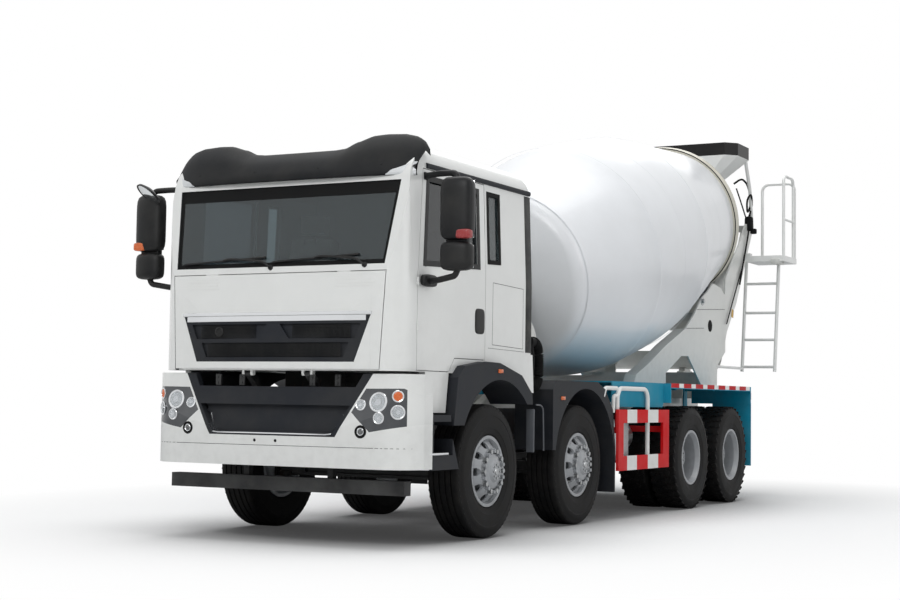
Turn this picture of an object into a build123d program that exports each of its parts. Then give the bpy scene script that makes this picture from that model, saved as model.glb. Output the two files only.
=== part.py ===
from build123d import *
import os
from math import atan2, cos, degrees, radians, sin, tan

"""Concrete mixer truck: an 8x4 cab-over lorry with a rotating drum.

X is the truck's left, Y runs rearwards and Z is up, all in millimetres.  The pieces are laid
out with Y measured from the first axle, and every node is then moved by SHIFT_Y so that the
origin lies on the ground in the middle of the truck's length.
"""

# ---------------------------------------------------------------- driving dimensions
FRONT_OVERHANG = 1490        # first axle to the front face
AXLE_SPACING = (1830, 2870, 1350)
REAR_REACH = 2600            # last axle to the back of the platform

TYRE_RADIUS = 550            # loaded radius of a 12.00R20 tyre
TYRE_WIDTH = 305
RIM_RADIUS = 292             # outside of the rim flange
TYRE_BEAD_RADIUS = 262       # seat of the tyre on the rim
FRONT_TRACK = 2022           # between the centres of the steered tyres
REAR_TRACK = 1830            # between the middles of the twin tyres
TWIN_SPACING = 350           # between the centres of a pair of twin tyres
KINGPIN_HALF_TRACK = 845
KINGPIN_RADIUS = 25
SPIN_GAP = 1                 # a hub's running gap to what carries it

FRAME_HALF_WIDTH = 425
FRAME_TOP = 1060
RAIL_DEPTH = 290
RAIL_FLANGE = 90
RAIL_PLATE = 10
FRAME_FRONT = -1150
FRAME_REAR = 7160
SUBFRAME_DEPTH = 130
SUBFRAME_FRONT = 1180

CAB_HALF_WIDTH = 1140
CAB_REAR = 800
CAB_FLOOR = 1340             # underside of the floor
CAB_PIVOT = (-1392, 1318)    # y and z of the tilt hinge
CAB_WALL = 45
CAB_BELT = 2140
CAB_GUTTER = 2925            # drip rail over the doors
CAB_ROOF = 3160
PANEL_GAP = 6                # between a door or lid and its frame
GLASS = 8

DRUM_TILT = 13.2
RING_Y = 7090                # centre of the roller ring
RING_Z = 3380
DRUM_RADIUS = 1244
DRUM_WALL = 10
RING_RADIUS = 955
RING_WIDTH = 110
ROLLER_RADIUS = 125
ROLLER_ANGLE = 30            # from straight below the ring to a roller
ROLLER_GAP = 0.5

# ---------------------------------------------------------------- derived places
AXLE_Y = (
    0,
    AXLE_SPACING[0],
    AXLE_SPACING[0] + AXLE_SPACING[1],
    AXLE_SPACING[0] + AXLE_SPACING[1] + AXLE_SPACING[2],
)
REAR_END = AXLE_Y[3] + REAR_REACH
SHIFT_Y = -(REAR_END - FRONT_OVERHANG) / 2
BOGIE_Y = (AXLE_Y[2] + AXLE_Y[3]) / 2
SUBFRAME_TOP = FRAME_TOP + SUBFRAME_DEPTH
FRAME_BOTTOM = FRAME_TOP - RAIL_DEPTH

nodes = {}


def add(name, *shapes):
    """Put shapes into a named node, as separate solids."""
    solids = nodes.setdefault(name, [])
    for shape in shapes:
        solids.extend(shape.solids())


def box(x, y, z):
    """A box from three (low, high) pairs."""
    size = (x[1] - x[0], y[1] - y[0], z[1] - z[0])
    middle = ((x[0] + x[1]) / 2, (y[0] + y[1]) / 2, (z[0] + z[1]) / 2)
    return Pos(*middle) * Box(*size)


def rod(start, end, radius, bore=0):
    """A round bar or, with a bore, a tube from start to end."""
    line = Vector(*end) - Vector(*start)
    plane = Plane(origin=start, z_dir=line)
    bar = extrude(plane * Circle(radius), line.length)
    if bore:
        bar -= extrude(plane * Circle(bore), line.length)
    return bar


def side_plate(points, x_low, x_high):
    """A plate with a (y, z) outline, from x_low to x_high."""
    outline = make_face(Polyline(*[(0, y, z) for y, z in points], close=True))
    return Pos(x_low, 0, 0) * extrude(outline, x_high - x_low, dir=(1, 0, 0))


def front_plate(points, y_low, y_high):
    """A plate with an (x, z) outline, from y_low to y_high."""
    outline = make_face(Polyline(*[(x, 0, z) for x, z in points], close=True))
    return Pos(0, y_low, 0) * extrude(outline, y_high - y_low, dir=(0, 1, 0))


def flat_plate(points, z_low, z_high):
    """A plate with an (x, y) outline, from z_low to z_high."""
    outline = make_face(Polyline(*[(x, y, 0) for x, y in points], close=True))
    return Pos(0, 0, z_low) * extrude(outline, z_high - z_low, dir=(0, 0, 1))


def pipe(points, radius, bend):
    """A round bar along a route whose corners have one bend radius."""
    route = FilletPolyline(*points, radius=bend)
    return sweep(Plane(origin=route @ 0, z_dir=route % 0) * Circle(radius), path=route)


def opposite(shape):
    """The same piece on the truck's right."""
    return mirror(shape, about=Plane.YZ)


def both_sides(shape):
    """A left piece and its mirror image."""
    return (shape, opposite(shape))


# ---------------------------------------------------------------- wheels and steering
RIM_HALF = TYRE_WIDTH / 2 - 34
RIM_PLATE = 14
HAND_HOLES = 10
HAND_HOLE_RADIUS = 32
HAND_HOLE_CIRCLE = 205
STUD_COUNT = 10
STUD_CIRCLE = 167.5
STUD_RADIUS = 11
HUB_RADIUS = 118
DISC_BORE = 141


def revolved_x(points):
    """A solid turned about the X axis from (x, radius) points."""
    outline = make_face(Polyline(*[(x, 0, r) for x, r in points], close=True))
    return revolve(outline, Axis.X)


def tyre():
    """One tyre centred on the origin, its axis along X."""
    half = TYRE_WIDTH / 2
    tread = half - 22
    outline = (
        (-RIM_HALF + 4, TYRE_BEAD_RADIUS),
        (-RIM_HALF, RIM_RADIUS),
        (-half + 16, RIM_RADIUS + 12),
        (-half, (RIM_RADIUS + TYRE_RADIUS) / 2),
        (-half + 4, TYRE_RADIUS - 62),
        (-tread, TYRE_RADIUS - 12),
        (-tread + 26, TYRE_RADIUS),
    )
    mirrored = tuple((-x, r) for x, r in reversed(outline))
    return revolved_x(outline + mirrored)


def rim(disc_outset, facing):
    """A wheel rim with its dished disc.

    disc_outset is how far the disc's mounting face stands from the rim's middle, and facing
    is +1 when the dish opens towards +X.
    """
    barrel = revolved_x((
        (-RIM_HALF - 14, RIM_RADIUS),
        (-RIM_HALF - 14, RIM_RADIUS - 26),
        (-RIM_HALF + 30, TYRE_BEAD_RADIUS - RIM_PLATE),
        (RIM_HALF - 30, TYRE_BEAD_RADIUS - RIM_PLATE),
        (RIM_HALF + 14, RIM_RADIUS - 26),
        (RIM_HALF + 14, RIM_RADIUS),
        (RIM_HALF, RIM_RADIUS),
        (RIM_HALF - 4, TYRE_BEAD_RADIUS),
        (-RIM_HALF + 4, TYRE_BEAD_RADIUS),
        (-RIM_HALF, RIM_RADIUS),
    ))
    face = facing * disc_outset
    shoulder = face - facing * 62
    disc = revolved_x((
        (face, DISC_BORE),
        (face, STUD_CIRCLE + 25),
        (shoulder, TYRE_BEAD_RADIUS - 6),
        (shoulder - facing * RIM_PLATE, TYRE_BEAD_RADIUS - 6),
        (face - facing * RIM_PLATE, STUD_CIRCLE + 12),
        (face - facing * RIM_PLATE, DISC_BORE),
    ))
    holes = [
        Rot(360 / HAND_HOLES * (i + 0.5), 0, 0)
        * Pos(face - facing * 30, 0, HAND_HOLE_CIRCLE + 18)
        * Rot(0, 90, 0)
        * Cylinder(HAND_HOLE_RADIUS, 120)
        for i in range(HAND_HOLES)
    ]
    return barrel + (disc - holes)


def hub(inner, outer, facing, flange):
    """A hub from inner to outer, with its flange and wheel nuts beyond the flange."""
    step = facing * 1.0
    body = revolved_x((
        (inner, KINGPIN_RADIUS + 12),
        (inner, HUB_RADIUS + 30),
        (flange - step * 34, HUB_RADIUS + 30),
        (flange - step * 24, STUD_CIRCLE + 22),
        (flange, STUD_CIRCLE + 22),
        (flange, DISC_BORE - 1),
        (flange + step * 30, DISC_BORE - 1),
        (flange + step * 36, HUB_RADIUS),
        (outer - step * 20, HUB_RADIUS - 26),
        (outer, HUB_RADIUS - 44),
        (outer, 0),
        (inner + step * 60, 0),
        (inner + step * 60, KINGPIN_RADIUS + 12),
    ))
    nuts = [
        Rot(360 / STUD_COUNT * i, 0, 0)
        * Pos(flange + step * 18, 0, STUD_CIRCLE)
        * Rot(0, 90, 0)
        * Cylinder(STUD_RADIUS + 5, 64)
        for i in range(STUD_COUNT)
    ]
    return body + nuts


SIDES = (("left", 1), ("right", -1))
FRONT_AXLES = (("first", AXLE_Y[0]), ("second", AXLE_Y[1]))
REAR_AXLES = (("third", AXLE_Y[2]), ("fourth", AXLE_Y[3]))

FRONT_OUTSET = 150           # from the tyre's middle to the hub flange
STUB_RADIUS = KINGPIN_RADIUS + 12 - SPIN_GAP
FRONT_FLANGE = FRONT_TRACK / 2 + FRONT_OUTSET
HUB_INNER = KINGPIN_HALF_TRACK + 84


def steered_wheel(side):
    """Tyre and rim with hub of a steered wheel, for side +1 or -1."""
    centre = Pos(side * FRONT_TRACK / 2, 0, 0)
    outset = FRONT_FLANGE - FRONT_TRACK / 2 + RIM_PLATE
    wheel_rim = centre * rim(outset, side)
    wheel_hub = hub(side * HUB_INNER, side * (FRONT_FLANGE + 62), side, side * FRONT_FLANGE)
    return centre * tyre(), wheel_rim + wheel_hub


KNUCKLE_TOP = 110            # half height of the kingpin boss
ARM_LENGTH = 190             # kingpin to the track rod's ball joint
ARM_DROP = -85
BEAM_EYE = 55                # half height of the beam's kingpin eye


def knuckle(side):
    """A steering knuckle with kingpin, stub axle, brake plate and track rod arm."""
    x = side * KINGPIN_HALF_TRACK
    pin = Pos(x, 0, 0) * Cylinder(KINGPIN_RADIUS, 2 * KNUCKLE_TOP)
    ears = [
        Pos(x, 0, level * (BEAM_EYE + 3 + 24)) * Cylinder(52, 48)
        for level in (1, -1)
    ]
    web = box(sorted_pair(x + side * 54, x + side * 78), (-62, 62), (-105, 105))
    bridges = [
        box(sorted_pair(x, x + side * 60), (-50, 50), sorted_pair(level * 58, level * 105))
        for level in (1, -1)
    ]
    stub = Rot(0, 90, 0) * Cylinder(STUB_RADIUS, 52)
    stub = Pos(x + side * 96, 0, 0) * stub
    arm = box(sorted_pair(x - 22, x + 22), (0, ARM_LENGTH), (ARM_DROP - 20, ARM_DROP + 4))
    boss = Pos(x, ARM_LENGTH, ARM_DROP - 8) * Cylinder(32, 24)
    return pin + ears + web + bridges + stub + arm + boss


def sorted_pair(first, second):
    """Two values, the lower first."""
    return (min(first, second), max(first, second))


for side_name, side in SIDES:
    wheel_tyre, wheel_rim = steered_wheel(side)
    for axle, axle_y in FRONT_AXLES:
        place = Pos(0, axle_y, TYRE_RADIUS)
        add(f"tyre_{axle}_{side_name}", place * wheel_tyre)
        add(f"rim_{axle}_{side_name}", place * wheel_rim)
        add(f"knuckle_{axle}_{side_name}", place * knuckle(side))

REAR_FLANGE = REAR_TRACK / 2
DRIVE_HUB_OUTER = REAR_FLANGE + 205
AXLE_TUBE_RADIUS = 66


def twin_wheel(side):
    """Twin tyres and rims with one hub, for side +1 or -1."""
    tyres = []
    rims = []
    for step, facing in ((TWIN_SPACING / 2, -side), (-TWIN_SPACING / 2, side)):
        middle = Pos(side * (REAR_TRACK / 2 + step), 0, 0)
        tyres.append(middle * tyre())
        rims.append(middle * rim(TWIN_SPACING / 2, facing))
    hub_body = revolved_x((
        (side * (REAR_FLANGE - 235), AXLE_TUBE_RADIUS + SPIN_GAP),
        (side * (REAR_FLANGE - 235), 205),
        (side * (REAR_FLANGE - 60), 205),
        (side * (REAR_FLANGE - 30), DISC_BORE + 2),
        (side * (REAR_FLANGE + 60), DISC_BORE + 2),
        (side * (REAR_FLANGE + 80), HUB_RADIUS),
        (side * (DRIVE_HUB_OUTER - 15), HUB_RADIUS - 10),
        (side * DRIVE_HUB_OUTER, HUB_RADIUS - 26),
        (side * DRIVE_HUB_OUTER, 0),
        (side * (REAR_FLANGE + 20), 0),
        (side * (REAR_FLANGE + 20), AXLE_TUBE_RADIUS + SPIN_GAP),
    ))
    nuts = [
        Rot(360 / STUD_COUNT * i, 0, 0)
        * Pos(side * (REAR_FLANGE + 25), 0, STUD_CIRCLE)
        * Rot(0, 90, 0)
        * Cylinder(STUD_RADIUS + 5, 76)
        for i in range(STUD_COUNT)
    ]
    return tyres, rims[0] + rims[1] + hub_body + nuts


for side_name, side in SIDES:
    tyres, rims = twin_wheel(side)
    for axle, axle_y in REAR_AXLES:
        place = Pos(0, axle_y, TYRE_RADIUS)
        add(f"tyres_{axle}_{side_name}", *[place * one for one in tyres])
        add(f"rims_{axle}_{side_name}", place * rims)

# ---------------------------------------------------------------- frame and subframe
RAIL_INNER = FRAME_HALF_WIDTH - RAIL_FLANGE


def frame_rail():
    """The left C-section rail, open towards the middle."""
    outer = box((RAIL_INNER, FRAME_HALF_WIDTH), (FRAME_FRONT, FRAME_REAR), (FRAME_BOTTOM, FRAME_TOP))
    hollow = box(
        (RAIL_INNER - 1, FRAME_HALF_WIDTH - RAIL_PLATE),
        (FRAME_FRONT - 1, FRAME_REAR + 1),
        (FRAME_BOTTOM + RAIL_PLATE, FRAME_TOP - RAIL_PLATE),
    )
    return outer - hollow


UNDERRUN_HALF_WIDTH = 1092
UNDERRUN_Z = (400, 510)
UNDERRUN_Y = (-1290, -1190)
TOW_PIN_RADIUS = 21
TOW_JAW_Y = FRAME_REAR + 60

RAIL_MIDDLE = (FRAME_TOP + FRAME_BOTTOM) / 2
# columns: y of the middle, length along the frame, height, z of the middle
CROSS_MEMBERS = (
    (FRAME_FRONT + 40, 80, 200, RAIL_MIDDLE),
    (1290, 80, 90, FRAME_TOP - 60),
    (2760, 80, 200, RAIL_MIDDLE + 20),
    (3750, 80, 200, RAIL_MIDDLE + 20),
    (AXLE_Y[2] - 60, 120, 220, RAIL_MIDDLE + 10),
    (AXLE_Y[3] + 60, 120, 220, RAIL_MIDDLE + 10),
    (FRAME_REAR - 30, 60, RAIL_DEPTH - 2 * RAIL_PLATE, RAIL_MIDDLE),
)


TILT_BRACKET_X = (255, 305)
TILT_EYE = 19
TILT_PIN_RADIUS = 10
CAB_REST_Y = (600, 700)
REST_GAP = 0.3


def chassis_frame():
    """Rails, cross members, front underrun bar and rear towing jaw."""
    rail = frame_rail()
    frame = rail + opposite(rail)
    reach = FRAME_HALF_WIDTH - RAIL_PLATE
    for y, length, height, middle_z in CROSS_MEMBERS:
        member = box((-reach, reach), (y - length / 2, y + length / 2),
                     (middle_z - height / 2, middle_z + height / 2))
        hollow = box((-reach - 1, reach + 1), (y - length / 2 + 12, y + length / 2 - 12),
                     (middle_z - height / 2 - 1, middle_z + height / 2 - 14))
        frame += member - hollow
    bar = box((-UNDERRUN_HALF_WIDTH, UNDERRUN_HALF_WIDTH), UNDERRUN_Y, UNDERRUN_Z)
    hanger = side_plate(
        ((FRAME_FRONT, FRAME_TOP - 40), (FRAME_FRONT, FRAME_BOTTOM - 40),
         (UNDERRUN_Y[1], UNDERRUN_Z[0] + 10), (UNDERRUN_Y[1] - 40, UNDERRUN_Z[0] + 10),
         (UNDERRUN_Y[1] - 40, UNDERRUN_Z[1] + 60), (FRAME_FRONT - 50, FRAME_TOP - 40)),
        FRAME_HALF_WIDTH - 55, FRAME_HALF_WIDTH - 5,
    )
    jaws = [
        box((-80, 80), (FRAME_REAR - 20, TOW_JAW_Y + 50), (z, z + 26))
        - Pos(0, TOW_JAW_Y, z + 13) * Cylinder(TOW_PIN_RADIUS, 40)
        for z in (RAIL_MIDDLE - 56, RAIL_MIDDLE + 30)
    ]
    frame += bar + hanger + opposite(hanger) + jaws
    hinge = side_plate(
        ((FRAME_FRONT, RAIL_MIDDLE - 80), (FRAME_FRONT, RAIL_MIDDLE + 90), (-1290, 1290),
         (CAB_PIVOT[0], CAB_PIVOT[1] + TILT_EYE), (CAB_PIVOT[0] - TILT_EYE, CAB_PIVOT[1]),
         (CAB_PIVOT[0] - 10, CAB_PIVOT[1] - TILT_EYE), (-1310, 1225), (-1210, RAIL_MIDDLE - 80)),
        *TILT_BRACKET_X)
    hinge -= rod((0, *CAB_PIVOT), (500, *CAB_PIVOT), TILT_PIN_RADIUS + 0.05)
    rest = box((FRAME_HALF_WIDTH - 80, FRAME_HALF_WIDTH - 10), CAB_REST_Y, (FRAME_TOP, CAB_FLOOR - REST_GAP))
    for piece in (hinge, rest):
        frame += piece
        frame += opposite(piece)
    return frame


def front_axle_beam(y):
    """An I-section beam with dropped middle and kingpin eyes."""
    drop = 90
    bend = KINGPIN_HALF_TRACK - 190
    beam = front_plate(
        ((-bend, -drop), (bend, -drop), (KINGPIN_HALF_TRACK - 70, -BEAM_EYE),
         (KINGPIN_HALF_TRACK, -BEAM_EYE),
         (KINGPIN_HALF_TRACK, BEAM_EYE), (KINGPIN_HALF_TRACK - 60, BEAM_EYE),
         (bend - 30, -drop + 110), (-bend + 30, -drop + 110),
         (-KINGPIN_HALF_TRACK + 60, BEAM_EYE), (-KINGPIN_HALF_TRACK, BEAM_EYE),
         (-KINGPIN_HALF_TRACK, -BEAM_EYE), (-KINGPIN_HALF_TRACK + 70, -BEAM_EYE)), -48, 48)
    pocket = box((-bend + 40, bend - 40), (14, 60), (-drop + 26, -drop + 86))
    beam -= pocket
    beam -= mirror(pocket, about=Plane.XZ)
    for side in (1, -1):
        eye = Pos(side * KINGPIN_HALF_TRACK, 0, 0)
        beam += eye * Cylinder(50, 2 * BEAM_EYE)
        beam -= eye * Cylinder(KINGPIN_RADIUS + 0.05, 4 * BEAM_EYE)
    return Pos(0, y, TYRE_RADIUS) * beam


SPRING_X = 380
SPRING_WIDTH = 80
SPRING_HALF = 780
LEAF = 16


def front_spring(y):
    """A leaf pack resting on the axle beam, with a hanger at each end up to the rail."""
    seat = TYRE_RADIUS - 90 + 110
    pack = None
    x = (SPRING_X - SPRING_WIDTH / 2, SPRING_X + SPRING_WIDTH / 2)
    for i in range(4):
        reach = SPRING_HALF - 150 * i
        low = seat + LEAF * (3 - i)
        leaf = box(x, (y - reach, y + reach), (low, low + LEAF))
        pack = leaf if pack is None else pack + leaf
    top = seat + 4 * LEAF
    for end in (-1, 1):
        hanger_y = y + end * (SPRING_HALF - 35)
        pack += box(x, sorted_pair(hanger_y - 40, hanger_y + 40), (top - LEAF, FRAME_BOTTOM))
    clamp = box((x[0] - 12, x[1] + 12), (y - 75, y + 75), (seat, top + 30))
    return pack + clamp


def drive_axle(y):
    """A banjo axle housing with its differential and axle tubes."""
    reach = REAR_FLANGE + 10
    tube = Rot(0, 90, 0) * Cylinder(AXLE_TUBE_RADIUS, 2 * reach)
    bowl = Rot(0, 90, 0) * Cylinder(190, 170)
    bowl += Rot(90, 0, 0) * Cylinder(175, 320)
    taper = revolved_x(((-420, 0), (-420, AXLE_TUBE_RADIUS), (-85, 165), (85, 165),
                        (420, AXLE_TUBE_RADIUS), (420, 0)))
    nose = Pos(0, -250, 0) * Rot(90, 0, 0) * Cylinder(70, 260)
    return Pos(0, y, TYRE_RADIUS) * (tube + bowl + taper + nose)


REAR_SPRING_X = 490
REAR_SPRING_WIDTH = 90


def bogie_spring():
    """The left inverted leaf pack on its trunnion, with its ends over the axle tubes."""
    x = (REAR_SPRING_X - REAR_SPRING_WIDTH / 2, REAR_SPRING_X + REAR_SPRING_WIDTH / 2)
    base = TYRE_RADIUS + AXLE_TUBE_RADIUS
    half = AXLE_SPACING[2] / 2
    pack = None
    for i in range(6):
        reach = half + 90 - 95 * i
        leaf = box(x, (BOGIE_Y - reach, BOGIE_Y + reach), (base + 20 * i, base + 20 * i + 20))
        pack = leaf if pack is None else pack + leaf
    trunnion = box((x[0], x[1]), (BOGIE_Y - 80, BOGIE_Y + 80), (base - 170, base + 160))
    shaft = rod((-x[0] - 5, BOGIE_Y, base - 110), (x[0] + 5, BOGIE_Y, base - 110), 55)
    bracket = side_plate(
        ((BOGIE_Y - 90, base - 190), (BOGIE_Y + 90, base - 190), (BOGIE_Y + 190, FRAME_TOP - 70),
         (BOGIE_Y - 190, FRAME_TOP - 70)), FRAME_HALF_WIDTH, FRAME_HALF_WIDTH + 20)
    return pack + trunnion, shaft, bracket


def drive_shaft(start_y, start_z, end_y, end_z):
    """A propeller shaft with a flange at each end."""
    start = Vector(0, start_y, start_z)
    end = Vector(0, end_y, end_z)
    way = (end - start).normalized()
    shaft = rod(start, end, 48)
    shaft += rod(start, start + way * 30, 90)
    return shaft + rod(end - way * 30, end, 90)


ENGINE_HALF_WIDTH = 290
ENGINE_MOUNT_X = FRAME_HALF_WIDTH - RAIL_PLATE
ENGINE_Y = (-860, 420)
ENGINE_Z = (620, 1430)
GEARBOX_REAR = 1180

add("chassis_frame", chassis_frame())
add("engine_block",
    box((-ENGINE_HALF_WIDTH, ENGINE_HALF_WIDTH), ENGINE_Y, ENGINE_Z)
    + rod((0, ENGINE_Y[1] - 10, 850), (0, GEARBOX_REAR, 850), 190)
    + [box((-ENGINE_MOUNT_X, ENGINE_MOUNT_X), (y - 40, y + 40), (880, 940)) for y in (-620, 300)])

for axle_y in AXLE_Y[:2]:
    beam = front_axle_beam(axle_y)
    for side_spring in both_sides(front_spring(axle_y)):
        beam += side_spring
    add("front_suspension", beam)

left_spring, trunnion_shaft, left_bracket = bogie_spring()
bogie = left_spring + opposite(left_spring) + trunnion_shaft
bogie += left_bracket
bogie += opposite(left_bracket)
for axle_y in AXLE_Y[2:]:
    bogie += drive_axle(axle_y)
bogie += drive_shaft(GEARBOX_REAR + 12, 850, AXLE_Y[2] - 370, TYRE_RADIUS)
bogie += drive_shaft(AXLE_Y[2] + 150, TYRE_RADIUS, AXLE_Y[3] - 370, TYRE_RADIUS)
add("rear_suspension", bogie)

# ---------------------------------------------------------------- bumper, lamps and steps
BUMPER_HALF_WIDTH = 1225
BUMPER_BACK = -1100
BUMPER_Z = (600, 1318)
BUMPER_SKIN = 30


def bumper_volume(inset):
    """The filled form of the bumper, shrunk by inset from its outer face."""
    half = BUMPER_HALF_WIDTH - inset
    plan = make_face([
        Line((half, BUMPER_BACK + 200), (half, BUMPER_BACK - 130)),
        ThreePointArc((half, BUMPER_BACK - 130), (1140 - inset * 0.7, -1380 + inset * 0.7),
                      (900, -1462 + inset)),
        ThreePointArc((900, -1462 + inset), (0, -1490 + inset), (-900, -1462 + inset)),
        ThreePointArc((-900, -1462 + inset), (-1140 + inset * 0.7, -1380 + inset * 0.7),
                      (-half, BUMPER_BACK - 130)),
        Line((-half, BUMPER_BACK - 130), (-half, BUMPER_BACK + 200)),
        Line((-half, BUMPER_BACK + 200), (half, BUMPER_BACK + 200)),
    ])
    body = Pos(0, 0, BUMPER_Z[0]) * extrude(plan, BUMPER_Z[1] - BUMPER_Z[0])
    slope = side_plate(
        ((-1465 + inset, BUMPER_Z[0] - 1), (-1490 + inset, 830), (-1405 + inset, BUMPER_Z[1] + 1),
         (BUMPER_BACK, BUMPER_Z[1] + 1), (BUMPER_BACK, BUMPER_Z[0] - 1)), -1400, 1400)
    return body & slope


GRILLE_LOW_OUTLINE = ((-880, 1330), (880, 1330), (585, 835), (-585, 835))
LAMP_OUTLINE = ((826, 1205), (1135, 1208), (1300, 1120), (1300, 960), (1178, 930), (880, 878), (716, 1025))


bumper_outer = bumper_volume(0)
bumper_skin = bumper_outer - bumper_volume(BUMPER_SKIN)
grille_zone = front_plate(GRILLE_LOW_OUTLINE, -1600, -1300)
lamp_zone = front_plate(LAMP_OUTLINE, -1600, BUMPER_BACK - 10)
lamp_zones = both_sides(lamp_zone)
bumper_skin -= grille_zone
bumper_skin -= lamp_zones[0]
bumper_skin -= lamp_zones[1]
tie = box((RAIL_INNER + 10, FRAME_HALF_WIDTH - 10), (-1465, FRAME_FRONT), (FRAME_BOTTOM, FRAME_BOTTOM + 55))
tie &= bumper_volume(5)
tie -= side_plate(
    ((FRAME_FRONT + 1, FRAME_TOP), (FRAME_FRONT + 1, FRAME_BOTTOM - 40), (UNDERRUN_Y[1], UNDERRUN_Z[0]),
     (UNDERRUN_Y[1] - 40.4, UNDERRUN_Z[0]), (UNDERRUN_Y[1] - 40.4, UNDERRUN_Z[1] + 60),
     (FRAME_FRONT - 50.4, FRAME_TOP - 40)), FRAME_HALF_WIDTH - 61, FRAME_HALF_WIDTH)
add("front_bumper", bumper_skin + tie + opposite(tie))

lower_face = (bumper_outer & grille_zone) - bumper_volume(60)
lower_face -= front_plate(((-700, 1075), (700, 1075), (560, 865), (-560, 865)), -1600, -1300)
lower_face -= front_plate(((-790, 1322), (790, 1322), (730, 1215), (-730, 1215)), -1600, -1300)
lower_back = bumper_volume(58) - bumper_volume(74)
lower_back &= front_plate(((-740, 1200), (740, 1200), (570, 850), (-570, 850)), -1600, -1250)
lower_posts = [box((x - 16, x + 16), (-1475, -1385), (1076, 1214)) for x in (-420, -140, 140, 420)]
lower_post_zone = bumper_volume(10) - bumper_volume(80)
add("lower_grille", lower_face + lower_back + [post & lower_post_zone for post in lower_posts])

lamp = (bumper_outer & lamp_zone) - bumper_volume(110)
add("headlamps", *both_sides(lamp))

STEP_X = (900, 1215)
STEP_Y = (BUMPER_BACK + 4, -650)
step_box = side_plate(
    ((STEP_Y[0], 590), (STEP_Y[0], 1012), (-790, 1012), (-770, 860), (STEP_Y[1], 590)),
    *STEP_X)
step_box -= box((STEP_X[0] + 60, STEP_X[1] + 1), (STEP_Y[0] + 35, -755), (700, 960))
add("steps_and_wings", *both_sides(step_box + box((FRAME_HALF_WIDTH, STEP_X[0]), (-1050, -930), (800, 900))))

# ---------------------------------------------------------------- wings and guards
SECOND_ARCH = (AXLE_Y[1] + 30, 560)
SECOND_ARCH_RADIUS = 690


def arch_wing(centre, radius, x_range, outline):
    """A wing with a (y, z) outline, hollowed round the wheel."""
    return side_plate(outline, *x_range) - rod(
        (x_range[0] - 1, *centre), (x_range[1] + 1, *centre), radius)


wing_outline = (
    (1120, 700), (1120, 1235), (1200, 1318), (2120, 1318), (2310, 1250), (2500, 1060),
    (2570, 700), (2570, 270), (2545, 270), (2545, 560), (2000, 560), (2000, 700),
)
second_wing = arch_wing(SECOND_ARCH, SECOND_ARCH_RADIUS, (840, 1215), wing_outline)
second_wing += box((FRAME_HALF_WIDTH, 860), (2440, 2480), (FRAME_TOP - 80, FRAME_TOP - 20))
add("steps_and_wings", *both_sides(second_wing))

REAR_WING_TOP = 1335
REAR_WING_Y = (2610, 6750)
REAR_WING_BREAK = 4020
WING_INNER = 500
WING_PANEL_X = 1164
WING_LIP_X = 1240
WING_SHEET = 14
REAR_WING_MIDDLE = REAR_WING_BREAK + 90
TOP_SHEET_Z = (REAR_WING_TOP - WING_SHEET, REAR_WING_TOP)
rear_wing = box((WING_INNER, WING_PANEL_X), (REAR_WING_Y[0], REAR_WING_MIDDLE), TOP_SHEET_Z)
rear_wing += box((WING_INNER, WING_LIP_X), (REAR_WING_BREAK, REAR_WING_Y[1]), TOP_SHEET_Z)
rear_wing += side_plate(
    ((REAR_WING_Y[0], 1085), (REAR_WING_Y[0], REAR_WING_TOP), (REAR_WING_MIDDLE, REAR_WING_TOP),
     (REAR_WING_MIDDLE, 1290), (REAR_WING_BREAK - 40, 1085)), WING_PANEL_X - WING_SHEET, WING_PANEL_X)
rear_wing += box(
    (WING_LIP_X - WING_SHEET, WING_LIP_X), (REAR_WING_BREAK, REAR_WING_Y[1]), (1282, REAR_WING_TOP))
for y in (REAR_WING_BREAK, REAR_WING_Y[1] - WING_SHEET):
    rear_wing += box((WING_INNER, WING_LIP_X), (y, y + WING_SHEET), (1130, REAR_WING_TOP))
for y in (2900, 3800, BOGIE_Y, 6700):
    arm_z = (REAR_WING_TOP - 60, REAR_WING_TOP - WING_SHEET)
    foot_z = (FRAME_TOP - 60, REAR_WING_TOP - WING_SHEET)
    rear_wing += box((FRAME_HALF_WIDTH, WING_INNER + 300), (y - 25, y + 25), arm_z)
    rear_wing += box((FRAME_HALF_WIDTH, FRAME_HALF_WIDTH + 12), (y - 60, y + 60), foot_z)
flap = box((760, WING_LIP_X - 2), (REAR_WING_Y[1], REAR_WING_Y[1] + 12), (400, 1150))
rear_wing += flap
add("rear_wings", *both_sides(rear_wing))

GUARD_X = (1216, 1244)
GUARD_Y = (2580, 3960)
GUARD_Z = (470, 1060)
GUARD_WINDOW_Y = (2710, 3790)
GUARD_WINDOW_Z = (610, 930)
HOOP_RADIUS = 22
HOOP_X = GUARD_X[0] - HOOP_RADIUS + 4
guard = box(GUARD_X, GUARD_Y, GUARD_Z) - box((GUARD_X[0] - 1, GUARD_X[1] + 1), GUARD_WINDOW_Y, GUARD_WINDOW_Z)
for y in (2650, 3860):
    guard += box((FRAME_HALF_WIDTH, GUARD_X[0]), (y - 25, y + 25), (FRAME_BOTTOM + 60, FRAME_BOTTOM + 120))
hoop = pipe(
    ((HOOP_X, 2650, 870), (HOOP_X, 2650, 1265), (HOOP_X, 3460, 1265), (HOOP_X, 3460, 500)),
    HOOP_RADIUS, 110)
for z in (500, 980):
    hoop += box((HOOP_X - 10, GUARD_X[0]), (3446, 3474), (z, z + 40))
add("side_guards", *both_sides(guard + hoop))

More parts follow.
